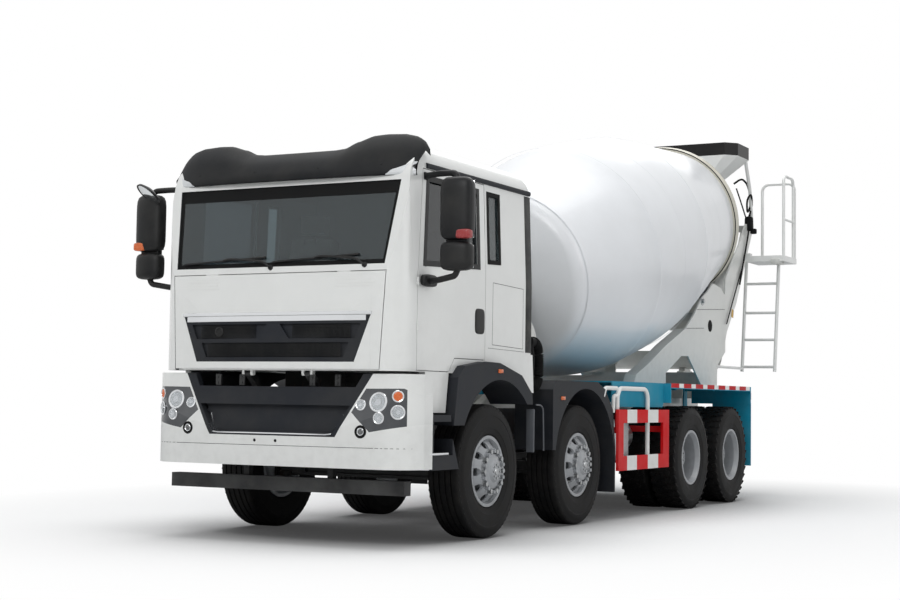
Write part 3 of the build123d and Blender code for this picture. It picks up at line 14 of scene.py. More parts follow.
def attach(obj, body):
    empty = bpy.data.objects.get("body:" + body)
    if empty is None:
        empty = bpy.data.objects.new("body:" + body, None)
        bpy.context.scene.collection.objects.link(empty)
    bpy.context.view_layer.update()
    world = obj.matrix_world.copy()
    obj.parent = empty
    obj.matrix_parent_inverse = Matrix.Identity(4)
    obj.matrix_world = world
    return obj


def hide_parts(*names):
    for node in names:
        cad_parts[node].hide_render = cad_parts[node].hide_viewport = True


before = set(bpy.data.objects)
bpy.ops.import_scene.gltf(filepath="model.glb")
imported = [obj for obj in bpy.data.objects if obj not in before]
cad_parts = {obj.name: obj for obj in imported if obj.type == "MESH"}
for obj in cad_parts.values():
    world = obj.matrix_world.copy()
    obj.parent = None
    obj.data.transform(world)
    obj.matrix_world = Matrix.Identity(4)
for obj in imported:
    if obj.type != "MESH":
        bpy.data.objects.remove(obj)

log = logging.getLogger("mixer")
logging.basicConfig(level=logging.INFO, format="%(name)s: %(message)s")

Tree = bpy.types.NodeTree
Socket = bpy.types.NodeSocket
Form = bmesh.types.BMesh

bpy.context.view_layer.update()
FIRST_AXLE = -3.58           # row-frame y of the first axle, which the sizes below count from
AXLES = {"first": 0.0, "second": 1.83, "third": 4.70, "fourth": 6.05}
WHEEL_CENTRE = 0.55          # height of every wheel's middle
SIDES = (("left", 1), ("right", -1))
SCREEN_FOOT = (-1426, 2130)  # y and z of the windscreen's lower edge, in millimetres
SCREEN_SLOPE = (130, 705)    # how far it leans back over how much height


def at(x: float, y: float, z: float) -> Vector:
    """A point in the row frame from millimetres left of middle, behind the first axle and above ground."""
    return Vector((x / 1000, y / 1000 + FIRST_AXLE, z / 1000))


def path(out: float, *corners: tuple) -> list[Vector]:
    """The points of millimetre corners, on the left where out is 1 and mirrored where it is -1."""
    return [at(out * x, y, z) for x, y, z in corners]


DRUM_TILT = math.radians(13.2)
DRUM_AXIS = Vector((0, math.cos(DRUM_TILT), math.sin(DRUM_TILT)))
RING_CENTRE = at(0.0, 7090.0, 3380.0)


def linear(code: str, alpha: float = 1.0) -> tuple[float, float, float, float]:
    """The linear colour of an sRGB hex code.

    Args:
        code: six hex digits with a leading hash.
        alpha: the fourth component.

    Returns:
        Red, green, blue and alpha as floats.
    """
    parts = [int(code[i:i + 2], 16) / 255 for i in (1, 3, 5)]
    low = [p / 12.92 if p <= 0.04045 else ((p + 0.055) / 1.055) ** 2.4 for p in parts]
    return (low[0], low[1], low[2], alpha)


def node(tree: Tree, kind: str, inputs: Optional[dict] = None, **settings: object) -> bpy.types.Node:
    """Adds a node with its settings, and sets or links its inputs.

    Args:
        tree: the tree that gets the node.
        kind: the node's type name.
        inputs: socket name or index to a value, or to an output socket to link.
        settings: attributes of the node.

    Returns:
        The new node.
    """
    made = tree.nodes.new(kind)
    for key, value in settings.items():
        setattr(made, key, value)
    for key, value in (inputs or {}).items():
        socket = made.inputs[key]
        if isinstance(value, Socket):
            tree.links.new(value, socket)
        else:
            socket.default_value = value
    return made


class Finish:
    """A surface finish: subclasses paint the nodes of one material."""

    name: str

    def build(self) -> bpy.types.Material:
        """The material, made once and shared."""
        known = bpy.data.materials.get(self.name)
        if known:
            return known
        made = bpy.data.materials.new(self.name)
        made.use_nodes = True
        tree = made.node_tree
        tree.nodes.clear()
        shader = node(tree, "ShaderNodeBsdfPrincipled")
        node(tree, "ShaderNodeOutputMaterial", {"Surface": shader.outputs[0]})
        place = node(tree, "ShaderNodeTexCoord").outputs["Object"]
        self.paint(tree, shader, place)
        made.diffuse_color = (0.6, 0.6, 0.6, 1.0)
        return made

    def paint(self, tree: Tree, shader: bpy.types.Node, place: Socket) -> None:
        """Adds the finish's nodes in front of the shader."""
        raise NotImplementedError


def speckle(tree: Tree, place: Socket, size: float, detail: float = 3.0,
            rough: float = 0.55) -> Socket:
    """A noise value whose blotches are about size metres across."""
    return node(tree, "ShaderNodeTexNoise", {"Vector": place, "Scale": 1.0 / size, "Detail": detail,
                                             "Roughness": rough}).outputs["Fac"]


def remap(tree: Tree, value: Socket, low: float, high: float, to_low: float,
          to_high: float) -> Socket:
    """A value taken from one range to another and held inside it."""
    return node(tree, "ShaderNodeMapRange", {"Value": value, "From Min": low, "From Max": high,
                                             "To Min": to_low, "To Max": to_high}).outputs[0]


def blend(tree: Tree, fac: Socket, one: object, two: object) -> Socket:
    """A colour mixed between two colours or colour sockets."""
    made = tree.nodes.new("ShaderNodeMix")
    made.data_type = "RGBA"
    tree.links.new(fac, made.inputs["Factor"])
    for socket, value in ((made.inputs[6], one), (made.inputs[7], two)):
        if isinstance(value, Socket):
            tree.links.new(value, socket)
        else:
            socket.default_value = value
    return made.outputs[2]


def bump(tree: Tree, shader: bpy.types.Node, height: Socket, depth: float,
         strength: float = 1.0) -> None:
    """Gives the shader a relief of depth metres from a height value."""
    made = node(tree, "ShaderNodeBump", {"Height": height, "Distance": depth, "Strength": strength})
    tree.links.new(made.outputs[0], shader.inputs["Normal"])


def axis_value(tree: Tree, place: Socket, axis: str) -> Socket:
    """One coordinate, X, Y or Z, of the surface point."""
    return node(tree, "ShaderNodeSeparateXYZ", {"Vector": place}).outputs[axis]


def math_node(tree: Tree, kind: str, one: object, two: object = 0.0) -> Socket:
    """A sum, comparison or other math on one or two values."""
    return node(tree, "ShaderNodeMath", {0: one, 1: two}, operation=kind).outputs[0]


def between(tree: Tree, value: Socket, low: float, high: float) -> Socket:
    """1 where the value lies between low and high, else 0."""
    above = math_node(tree, "GREATER_THAN", value, low)
    below = math_node(tree, "LESS_THAN", value, high)
    return math_node(tree, "MULTIPLY", above, below)


@dataclass(frozen=True)
class Paint(Finish):
    """Sprayed enamel on sheet steel: smooth and glossy, with faint orange peel and road film low down."""

    name: str
    colour: str
    rough: float = 0.28
    coat: float = 0.6
    dirt: float = 0.12
    dirt_colour: str = "#6F6A62"
    bands: tuple = ()            # (axis, low, high, hex) colour bands across the piece
    painted_inside_shade: str = ""             # painted shade: hex colour of faces that look at the cab's middle, standing for the shaded inside
    shine: float = 0.5

    def paint(self, tree: Tree, shader: bpy.types.Node, place: Socket) -> None:
        """Base colour with bands, patchy fade, road film that thins with height, and orange peel."""
        fade = speckle(tree, place, 0.45, 4.0)
        tone = blend(tree, remap(tree, fade, 0.35, 0.7, 0.0, 0.10), linear(self.colour), linear("#B9BAB8"))
        for axis, low, high, code in self.bands:
            tone = blend(tree, between(tree, axis_value(tree, place, axis), low, high), tone, linear(code))
        height = axis_value(tree, place, "Z")
        low_down = remap(tree, height, 0.3, 1.9, self.dirt * 2.2, self.dirt * 0.25)
        grime = math_node(tree, "MULTIPLY",
                          remap(tree, speckle(tree, place, 0.09, 6.0), 0.42, 0.72, 0.0, 1.0), low_down)
        tone = blend(tree, grime, tone, linear(self.dirt_colour))
        gloss = remap(tree, grime, 0.0, 0.5, self.rough, 0.7)
        # painted shade: inward faces of the cab turn dark grey and matt, standing for the shade inside the
        # cab
        if self.painted_inside_shade:
            inward = self.inner_faces(tree, place)
            tone = blend(tree, inward, tone, linear(self.painted_inside_shade))
            gloss = math_node(tree, "MAXIMUM", gloss, math_node(tree, "MULTIPLY", inward, 0.8))
            outer = math_node(tree, "SUBTRACT", 1.0, inward)
            tree.links.new(math_node(tree, "MULTIPLY", outer, self.coat), shader.inputs["Coat Weight"])
        else:
            shader.inputs["Coat Weight"].default_value = self.coat
        tree.links.new(tone, shader.inputs["Base Color"])
        tree.links.new(gloss, shader.inputs["Roughness"])
        shader.inputs["Coat Roughness"].default_value = 0.10
        shader.inputs["Specular IOR Level"].default_value = self.shine
        bump(tree, shader, speckle(tree, place, 0.004, 1.0), 0.00012, 0.5)

    def inner_faces(self, tree: Tree, place: Socket) -> Socket:
        """1 on faces of the cab's walls that look inwards, where the painted shade of the cab's dark inside
        goes.
        """
        normal = node(tree, "ShaderNodeTexCoord").outputs["Normal"]
        inward = node(tree, "ShaderNodeVectorMath", {0: (0.0, FIRST_AXLE - 0.35, 2.25), 1: place},
                      operation="SUBTRACT")
        looks = node(tree, "ShaderNodeVectorMath", {0: normal, 1: inward.outputs[0]},
                     operation="DOT_PRODUCT")
        across = math_node(tree, "ABSOLUTE", axis_value(tree, place, "X"))
        narrow = math_node(tree, "LESS_THAN", across, 1.125)
        return math_node(tree, "MULTIPLY", math_node(tree, "GREATER_THAN", looks.outputs["Value"], 0.25),
                         narrow)


@dataclass(frozen=True)
class Plastic(Finish):
    """Injection-moulded plastic: matt, with a spark-eroded grain of about 0.5 mm, drawn at 3 mm."""

    name: str
    colour: str
    rough: float = 0.62
    grain: float = 0.003
    dust: str = "#8B8880"
    shine: float = 0.22

    def paint(self, tree: Tree, shader: bpy.types.Node, place: Socket) -> None:
        """Grey base that chalks in patches, with a leathery grain."""
        chalk = remap(tree, speckle(tree, place, 0.35, 5.0), 0.40, 0.80, 0.0, 0.08)
        tone = blend(tree, chalk, linear(self.colour), linear(self.dust))
        tree.links.new(tone, shader.inputs["Base Color"])
        tree.links.new(remap(tree, chalk, 0.0, 0.08, self.rough - 0.05, self.rough + 0.10),
                       shader.inputs["Roughness"])
        shader.inputs["Specular IOR Level"].default_value = self.shine
        cells = node(tree, "ShaderNodeTexVoronoi", {"Vector": place, "Scale": 1.0 / self.grain})
        bump(tree, shader, cells.outputs["Distance"], 0.00025, 0.6)


@dataclass(frozen=True)
class TyreRubber(Finish):
    """Moulded carbon-black tyre rubber: near black, dusty in the grooves and on the sidewall."""

    name: str = "moulded_tyre_rubber"

    def paint(self, tree: Tree, shader: bpy.types.Node, place: Socket) -> None:
        """Dark rubber with patches of pale road dust and a fine moulded grain."""
        dust = remap(tree, speckle(tree, place, 0.12, 6.0, 0.65), 0.42, 0.8, 0.0, 0.14)
        tone = blend(tree, dust, linear("#131314"), linear("#5E5A54"))
        tree.links.new(tone, shader.inputs["Base Color"])
        tree.links.new(remap(tree, dust, 0.0, 0.14, 0.62, 0.84), shader.inputs["Roughness"])
        shader.inputs["Specular IOR Level"].default_value = 0.15
        bump(tree, shader, speckle(tree, place, 0.0025, 2.0), 0.0003, 0.7)


@dataclass(frozen=True)
class Metal(Finish):
    """Bare or thinly coated metal, brushed or turned along one axis."""

    name: str
    colour: str
    rough: float = 0.35
    brushed: str = "X"
    stain: float = 0.2
    stain_colour: str = "#5B4A3C"

    def paint(self, tree: Tree, shader: bpy.types.Node, place: Socket) -> None:
        """Metal with fine scratches along one axis and brownish stains."""
        along, across = 2.0, 500.0   # scratches per metre along and across the brushing
        stretch = tuple(along if letter == self.brushed else across for letter in "XYZ")
        turned = node(tree, "ShaderNodeMapping", {"Vector": place, "Scale": stretch})
        grain = node(tree, "ShaderNodeTexNoise", {"Vector": turned.outputs[0], "Scale": 1.0, "Detail": 2.0})
        patch = remap(tree, speckle(tree, place, 0.08, 5.0), 0.5, 0.75, 0.0, self.stain)
        tone = blend(tree, patch, linear(self.colour), linear(self.stain_colour))
        tree.links.new(tone, shader.inputs["Base Color"])
        shader.inputs["Metallic"].default_value = 1.0
        tree.links.new(remap(tree, grain.outputs["Fac"], 0.3, 0.7, self.rough - 0.08, self.rough + 0.12),
                       shader.inputs["Roughness"])
        bump(tree, shader, grain.outputs["Fac"], 0.00006, 0.5)


@dataclass(frozen=True)
class CastIron(Finish):
    """Sand-cast iron under black chassis paint: pebbled, dull, rusting in spots."""

    name: str
    colour: str = "#2A2B2C"
    rust: float = 0.25

    def paint(self, tree: Tree, shader: bpy.types.Node, place: Socket) -> None:
        """Black paint over a pebbled skin, with rust and dust."""
        spots = remap(tree, speckle(tree, place, 0.05, 7.0, 0.7), 0.55, 0.75, 0.0, self.rust)
        tone = blend(tree, spots, linear(self.colour), linear("#6E4A33"))
        dust = remap(tree, speckle(tree, place, 0.22, 4.0), 0.4, 0.75, 0.0, 0.16)
        tone = blend(tree, dust, tone, linear("#77726A"))
        tree.links.new(tone, shader.inputs["Base Color"])
        tree.links.new(remap(tree, dust, 0.0, 0.16, 0.55, 0.8), shader.inputs["Roughness"])
        shader.inputs["Specular IOR Level"].default_value = 0.25
        bump(tree, shader, speckle(tree, place, 0.006, 3.0), 0.0006, 0.6)


@dataclass(frozen=True)
class Glass(Finish):
    """Float or laminated glass: clear with a faint grey-green body."""

    name: str
    colour: str = "#DDE8E6"
    rough: float = 0.02
    weight: float = 0.9

    def paint(self, tree: Tree, shader: bpy.types.Node, place: Socket) -> None:
        """Transmission with a film of dust that barely dulls it."""
        film = remap(tree, speckle(tree, place, 0.3, 4.0), 0.45, 0.8, self.rough, self.rough + 0.05)
        tree.links.new(film, shader.inputs["Roughness"])
        shader.inputs["Base Color"].default_value = linear(self.colour)
        shader.inputs["Transmission Weight"].default_value = self.weight
        shader.inputs["IOR"].default_value = 1.45


@dataclass(frozen=True)
class Lens(Finish):
    """Moulded acrylic lens in a lamp: coloured, glossy, with a prism pattern about 6 mm across."""

    name: str
    colour: str
    clear: float = 0.35

    def paint(self, tree: Tree, shader: bpy.types.Node, place: Socket) -> None:
        """Glossy coloured acrylic with small prisms."""
        prisms = node(tree, "ShaderNodeTexVoronoi", {"Vector": place, "Scale": 160.0}, feature="SMOOTH_F1")
        shade = remap(tree, prisms.outputs["Distance"], 0.0, 0.7, 0.0, 0.25)
        pale = [0.6 * c + 0.4 for c in linear(self.colour)]
        tree.links.new(blend(tree, shade, linear(self.colour), pale), shader.inputs["Base Color"])
        shader.inputs["Roughness"].default_value = 0.12
        shader.inputs["Transmission Weight"].default_value = self.clear
        shader.inputs["Specular IOR Level"].default_value = 0.5 if self.clear > 0.5 else 0.2
        bump(tree, shader, prisms.outputs["Distance"], 0.0006, 0.5)


@dataclass(frozen=True)
class Cloth(Finish):
    """Woven seat cloth: plain weave of about 1 mm, drawn at 3 mm so that it shows, with a soft sheen."""

    name: str
    colour: str
    second: str

    def paint(self, tree: Tree, shader: bpy.types.Node, place: Socket) -> None:
        """Crossed threads and slow fading."""
        warp = node(tree, "ShaderNodeTexWave", {"Vector": place, "Scale": 95.0, "Distortion": 0.6},
                    bands_direction="X")
        weft = node(tree, "ShaderNodeTexWave", {"Vector": place, "Scale": 95.0, "Distortion": 0.6},
                    bands_direction="DIAGONAL")
        weave = math_node(tree, "MULTIPLY", warp.outputs["Fac"], weft.outputs["Fac"])
        worn = remap(tree, speckle(tree, place, 0.12, 4.0), 0.35, 0.7, 0.0, 0.6)
        tone = blend(tree, weave, linear(self.colour), linear(self.second))
        tree.links.new(blend(tree, math_node(tree, "MULTIPLY", worn, 0.4), tone, linear("#C9C6BE")),
                       shader.inputs["Base Color"])
        shader.inputs["Roughness"].default_value = 0.85
        shader.inputs["Sheen Weight"].default_value = 0.4
        shader.inputs["Sheen Roughness"].default_value = 0.4
        bump(tree, shader, weave, 0.0005, 0.6)


class Coat(Enum):
    """The finishes of this truck, by what they are on."""

    CAB_WHITE = Paint("white_two_pack_enamel", "#E6E7E5", 0.30, 0.5, 0.05)
    # the dark grey on the inward faces is painted shade for the cab's inside
    CAB_SHELL = Paint("white_cab_enamel_and_painted_inside_shade", "#E6E7E5", 0.30, 0.5, 0.05, painted_inside_shade="#3B3E41")
    DRUM_WHITE = Paint("drum_gloss_enamel", "#E9EBEE", 0.36, 0.25, 0.02)
    CREAM = Paint("off_white_chassis_enamel", "#DCDDD9", 0.34, 0.4, 0.14)
    CHUTE_GREY = Paint("worn_light_grey_enamel", "#C9CAC6", 0.42, 0.2, 0.3, "#8C877E")
    TEAL = Paint("blue_green_enamel", "#008DAC", 0.5, 0.0, 0.05, shine=0.12)
    GUARD = Paint("red_guard_enamel", "#D2000C", 0.5, 0.0, 0.04, "#6F6A62", (
        ("Z", 1.062, 1.6, "#EDEDEB"),
        ("Y", FIRST_AXLE + 2.805, FIRST_AXLE + 3.062, "#EDEDEB"),
        ("Y", FIRST_AXLE + 3.359, FIRST_AXLE + 3.649, "#EDEDEB")), shine=0.1)
    CHASSIS = Paint("black_chassis_enamel", "#121315", 0.5, 0.0, 0.06, "#5A5650", shine=0.3)
    HOPPER = Paint("white_hopper_enamel", "#E3E4E2", 0.4, 0.05, 0.10, "#6F6A62",
                   (("Z", 4.272, 4.46, "#0B0B0C"),), shine=0.2)
    RING = Paint("beige_ring_primer", "#CFCBBC", 0.42, 0.1, 0.15, "#8A7F6A")
    RIM = Paint("silver_wheel_enamel", "#9DA0A4", 0.34, 0.3, 0.10, "#5F5A54")
    GREY_PLASTIC = Plastic("dark_grey_moulding", "#1B1E24")
    VISOR_PLASTIC = Plastic("visor_moulding", "#121417", 0.6, 0.003, "#8B8880", 0.16)
    GRIME_PLASTIC = Paint("speckled_corner_moulding", "#17181A", 0.6, 0.0, 0.5, "#8B8880", shine=0.2)
    LAMP_HOUSING = Paint("smoked_lamp_housing", "#34373C", 0.16, 0.6, 0.02, "#6F6A62", (
        ("X", 1.152, 1.4, "#E6E7E5"), ("X", -1.4, -1.152, "#E6E7E5")))
    BLACK_PLASTIC = Plastic("black_moulding", "#121315", 0.45)
    DASH = Plastic("grained_dashboard_skin", "#3A3B3D", 0.7, 0.002, "#6B6A68")
    RUBBER = TyreRubber()
    SEAL = Plastic("rubber_seal", "#0C0D0E", 0.75, 0.004, "#55524D", 0.15)
    IRON = CastIron("painted_cast_iron", "#191A1B")
    TANK = Metal("brushed_aluminium_sheet", "#B9BCBE", 0.3, "Y", 0.12, "#8D8880")
    STEEL = Metal("turned_steel", "#9A9B9C", 0.3, "X", 0.35)
    ZINC = Metal("zinc_plated_fasteners", "#A9ABAC", 0.35, "Z", 0.2)
    BRIGHT = Metal("bright_trim", "#D4D6D8", 0.16, "X", 0.04, "#A0A0A0")
    MIRROR = Metal("silvered_mirror_glass", "#E6E9EA", 0.03, "X", 0.0)
    WINDOW = Glass("laminated_window_glass", "#8D9A9E")
    SIDE_WINDOW = Glass("tinted_side_glass", "#4E565B")
    LENS_CLEAR = Lens("ribbed_clear_lens", "#E9ECEE", 0.85)
    LENS_WHITE = Lens("frosted_white_lens", "#DFE2E4", 0.15)
    LENS_AMBER = Lens("ribbed_amber_lens", "#E2660C", 0.1)
    LENS_RED = Lens("ribbed_red_lens", "#9E0B0E", 0.1)
    TAPE_RED = Paint("red_reflective_tape", "#C20010", 0.5, 0.0, 0.02, shine=0.1)
    LENS_YELLOW = Lens("ribbed_yellow_reflector", "#E8B42C")
    WORN_EDGE = Plastic("worn_grey_edge", "#5A5D62", 0.5)
    SEAT = Cloth("woven_seat_cloth", "#8F8C85", "#5E5C58")
    BUNK = Cloth("woven_bunk_cloth", "#6E7072", "#4A4C4F")

    def make(self) -> bpy.types.Material:
        """The material of this finish."""
        return self.value.build()


def dress(coat: Coat, *names: str) -> None:
    """Gives CAD nodes a finish in all their material slots."""
    for name in names:
        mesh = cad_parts[name].data
        if not mesh.materials:
            mesh.materials.append(coat.make())
        for i in range(len(mesh.materials)):
            mesh.materials[i] = coat.make()


def smooth(mesh: bpy.types.Mesh, angle: float = 35.0) -> None:
    """Shades a mesh smooth, with edges sharper than angle degrees kept."""
    mesh.shade_smooth()
    mesh.set_sharp_from_angle(angle=math.radians(angle))


def finish_piece(name: str, form: Form, coat: Coat, body: str,
                 replaces: Sequence[str] = (), angle: float = 35.0) -> bpy.types.Object:
    """Turns a built form into a named piece on a body.

    Args:
        name: the piece's name.
        form: its shape in the row frame; it is freed.
        coat: its finish.
        body: the CAD body it rides on.
        replaces: CAD nodes it stands for.
        angle: edges sharper than this many degrees stay sharp.

    Returns:
        The piece's object.
    """
    mesh = bpy.data.meshes.new(name)
    form.to_mesh(mesh)
    form.free()
    made = bpy.data.objects.new(name, mesh)
    bpy.context.scene.collection.objects.link(made)
    mesh.materials.clear()
    mesh.materials.append(coat.make())
    smooth(mesh, angle)
    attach(made, body)
    if replaces:
        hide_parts(*replaces)
    log.info("%s rides on %s, %d faces", name, body, len(mesh.polygons))
    return made


def join(form: Form, mesh: bpy.types.Mesh, place: Matrix = Matrix()) -> None:
    """Adds a mesh to a form at a place, and removes the mesh."""
    mesh.transform(place)
    form.from_mesh(mesh)
    bpy.data.meshes.remove(mesh)


def add(form: Form, made: Form) -> None:
    """Adds one form to another and frees it."""
    mesh = bpy.data.meshes.new("part")
    made.to_mesh(mesh)
    made.free()
    join(form, mesh)


def bevel(made: Form, edge: float) -> None:
    """Rounds every edge by a width in millimetres, in two steps."""
    if edge:
        bmesh.ops.bevel(made, geom=made.edges[:], offset=edge / 1000, segments=2, affect="EDGES",
                        profile=0.5)


def slab(made: Form, ends: Sequence[list]) -> None:
    """Closes two matching rings of vertices into a plate."""
    made.faces.new(ends[0])
    made.faces.new(list(reversed(ends[1])))
    count = len(ends[0])
    for i in range(count):
        j = (i + 1) % count
        made.faces.new((ends[0][i], ends[1][i], ends[1][j], ends[0][j]))
    bmesh.ops.recalc_face_normals(made, faces=made.faces)


def tube(made: Form, rings: Sequence[list]) -> None:
    """Joins rings of vertices in order, and caps both ends."""
    for one, two in zip(rings, rings[1:]):
        for k in range(len(one)):
            j = (k + 1) % len(one)
            made.faces.new((one[k], one[j], two[j], two[k]))
    made.faces.new(list(reversed(rings[0])))
    made.faces.new(rings[-1])


def block(form: Form, x: tuple, y: tuple, z: tuple, edge: float = 0.0,
          turn: Matrix = Matrix()) -> None:
    """Adds a box between pairs of millimetre values, with its edges bevelled.

    Args:
        form: the form that it joins.
        x: left values.
        y: values behind the first axle.
        z: heights.
        edge: bevel width in millimetres.
        turn: a rotation about the box's middle.
    """
    low, high = at(x[0], y[0], z[0]), at(x[1], y[1], z[1])
    middle = (low + high) / 2
    size = high - low
    made = bmesh.new()
    bmesh.ops.create_cube(made, size=1.0)
    bmesh.ops.scale(made, vec=(abs(size.x), abs(size.y), abs(size.z)), verts=made.verts)
    bevel(made, edge)
    bmesh.ops.transform(made, matrix=Matrix.Translation(middle) @ turn, verts=made.verts)
    add(form, made)


def prism(form: Form, outline: Sequence[tuple], low: float, high: float, edge: float) -> None:
    """Adds an outline in x and z, extruded between two y values, all in millimetres.

    Args:
        form: the form that it joins.
        outline: (x, z) corners.
        low: the y of its front.
        high: the y of its back.
        edge: bevel width.
    """
    made = bmesh.new()
    ends = [[made.verts.new(at(x, y, z)) for x, z in outline] for y in (low, high)]
    slab(made, ends)
    bevel(made, edge)
    add(form, made)


def facing(origin: Vector, axis: Vector) -> Matrix:
    """The place whose Z runs along axis from origin."""
    return Matrix.Translation(origin) @ axis.normalized().to_track_quat("Z", "Y").to_matrix().to_4x4()


def turned(form: Form, profile: Sequence[tuple], origin: Vector, axis: Vector,
           steps: int = 48) -> None:
    """Adds a solid turned about an axis from (along, radius) pairs in millimetres.

    Args:
        form: the form that it joins.
        profile: distance along the axis and radius of each corner, in order round the section.
        origin: the point on the axis where along is 0.
        axis: the axis's direction.
        steps: how many flats round the circle.
    """
    place = facing(origin, axis)
    made = bmesh.new()
    rings = []
    for i in range(steps):
        a = 2 * math.pi * i / steps
        rings.append([made.verts.new(place @ Vector((r / 1000 * math.cos(a), r / 1000 * math.sin(a),
                                                     h / 1000)))
                      for h, r in profile])
    for i in range(steps):
        one, two = rings[i], rings[(i + 1) % steps]
        for j in range(len(profile)):
            k = (j + 1) % len(profile)
            made.faces.new((one[j], two[j], two[k], one[k]))
    bmesh.ops.remove_doubles(made, verts=made.verts, dist=1e-6)
    bmesh.ops.dissolve_degenerate(made, dist=1e-6, edges=made.edges)
    bmesh.ops.recalc_face_normals(made, faces=made.faces)
    add(form, made)


def bend(before: Vector, corner: Vector, after: Vector, radius: float, steps: int,
         share: float) -> list[Vector]:
    """The rounded way past a corner.

    Args:
        before: the point before the corner.
        corner: the corner.
        after: the point after it.
        radius: how far from the corner the bend starts and ends.
        steps: runs in the bend.
        share: the most of either side that the bend may take.

    Returns:
        The bend's points.
    """
    back, ahead = before - corner, after - corner
    reach = min(radius, back.length * share, ahead.length * share)
    start, end = corner + back.normalized() * reach, corner + ahead.normalized() * reach
    times = [i / steps for i in range(steps + 1)]
    return [start * (1 - t) ** 2 + corner * 2 * t * (1 - t) + end * t ** 2 for t in times]


def rounded(points: Sequence[Vector], radius: float, steps: int = 5) -> list[Vector]:
    """A route through points whose corners have a bend radius, in metres."""
    route = [points[0]]
    for before, corner, after in zip(points, points[1:], points[2:]):
        route += bend(before, corner, after, radius, steps, 0.45)
    return route + [points[-1]]


def pipe(form: Form, points: Sequence[Vector], radius: float, corner: float = 0.05,
         sides: int = 12) -> None:
    """Adds a round bar along points.

    Args:
        form: the form that it joins.
        points: corners of its route in the row frame.
        radius: its radius in metres.
        corner: bend radius at the corners in metres.
        sides: flats round its section.
    """
    route = rounded(points, corner) if len(points) > 2 else list(points)
    made = bmesh.new()
    side = (route[1] - route[0]).normalized().orthogonal().normalized()
    rings = []
    for i, spot in enumerate(route):
        ahead = (route[min(i + 1, len(route) - 1)] - route[max(i - 1, 0)]).normalized()
        side = (side - ahead * side.dot(ahead)).normalized()
        other = ahead.cross(side)
        rings.append([made.verts.new(spot + (side * math.cos(2 * math.pi * k / sides)
                                             + other * math.sin(2 * math.pi * k / sides)) * radius)
                      for k in range(sides)])
    tube(made, rings)
    bmesh.ops.recalc_face_normals(made, faces=made.faces)
    add(form, made)


@dataclass
class Repeater:
    """A Geometry Nodes tree that repeats one small solid round a ring or along a row."""

    ring: bool

    def tree(self) -> bpy.types.GeometryNodeTree:
        """The tree, with named inputs for its sizes, made once."""
        name = "ring_of_solids" if self.ring else "row_of_solids"
        known = bpy.data.node_groups.get(name)
        if known:
            return known
        made = bpy.data.node_groups.new(name, "GeometryNodeTree")
        face = made.interface
        for label, kind in (("Count", "NodeSocketInt"), ("Radius", "NodeSocketFloat"),
                            ("Step", "NodeSocketVector"), ("Solid Size", "NodeSocketVector"),
                            ("Sides", "NodeSocketInt"), ("Turn", "NodeSocketVector"),
                            ("Material", "NodeSocketMaterial")):
            face.new_socket(label, in_out="INPUT", socket_type=kind)
        face.new_socket("Geometry", in_out="OUTPUT", socket_type="NodeSocketGeometry")
        given = node(made, "NodeGroupInput").outputs
        if self.ring:
            spots = node(made, "GeometryNodeMeshCircle",
                         {"Vertices": given["Count"], "Radius": given["Radius"]}).outputs[0]
            share = math_node(made, "DIVIDE", 2 * math.pi, given["Count"])
            angle = math_node(made, "MULTIPLY", node(made, "GeometryNodeInputIndex").outputs[0], share)
            turn = node(made, "ShaderNodeCombineXYZ", {"Z": angle}).outputs[0]
        else:
            spots = node(made, "GeometryNodeMeshLine", {"Count": given["Count"], "Offset": given["Step"]},
                         mode="OFFSET").outputs[0]
            turn = None
        parts = node(made, "ShaderNodeSeparateXYZ", {"Vector": given["Solid Size"]}).outputs
        half = node(made, "ShaderNodeMath", {0: parts["X"], 1: 0.5}, operation="MULTIPLY").outputs[0]
        round_solid = node(made, "GeometryNodeMeshCylinder", {"Vertices": given["Sides"], "Radius": half,
                                                              "Depth": parts["Z"]}).outputs[0]
        cube = node(made, "GeometryNodeMeshCube", {"Size": given["Solid Size"]}).outputs[0]
        is_box = node(made, "FunctionNodeCompare", {2: given["Sides"], 3: 3}, data_type="INT",
                      operation="LESS_THAN").outputs[0]
        solid = node(made, "GeometryNodeSwitch", {"Switch": is_box, "False": round_solid, "True": cube},
                     input_type="GEOMETRY").outputs[0]
        turned_solid = node(made, "GeometryNodeTransform",
                            {"Geometry": solid, "Rotation": given["Turn"]}).outputs[0]
        spread = node(made, "GeometryNodeInstanceOnPoints", {"Points": spots, "Instance": turned_solid})
        if turn is not None:
            made.links.new(turn, spread.inputs["Rotation"])
        real = node(made, "GeometryNodeRealizeInstances", {"Geometry": spread.outputs[0]})
        dressed = node(made, "GeometryNodeSetMaterial",
                       {"Geometry": real.outputs[0], "Material": given["Material"]})
        node(made, "NodeGroupOutput", {"Geometry": dressed.outputs[0]})
        return made

    def mesh(self, count: int, size: tuple, radius: float = 0.0, step: tuple = (0, 0, 0), sides: int = 6,
             turn: tuple = (0, 0, 0), coat: Coat = Coat.ZINC) -> bpy.types.Mesh:
        """The repeated solids as one plain mesh.

        Args:
            count: how many.
            size: the solid's width, width and height in metres, a box where sides is 2.
            radius: the ring's radius in metres.
            step: the row's step in metres.
            sides: flats of a round solid, or 2 for a box.
            turn: the solid's own rotation in radians.
            coat: the finish.

        Returns:
            A mesh about the origin.
        """
        holder = bpy.data.objects.new("repeater", bpy.data.meshes.new("repeater"))
        bpy.context.scene.collection.objects.link(holder)
        live = holder.modifiers.new("repeat", "NODES")
        live.node_group = self.tree()
        values = {"Count": count, "Radius": radius, "Step": step, "Solid Size": size, "Turn": turn,
                  "Sides": max(sides, 2), "Material": coat.make()}
        for item in live.node_group.interface.items_tree:
            if item.in_out == "INPUT" and item.name in values:
                live[item.identifier] = values[item.name]
        bpy.context.view_layer.update()
        graph = bpy.context.evaluated_depsgraph_get()
        made = bpy.data.meshes.new_from_object(holder.evaluated_get(graph))
        holder.modifiers.remove(live)
        bpy.data.objects.remove(holder)
        return made


RING = Repeater(True)
ROW = Repeater(False)


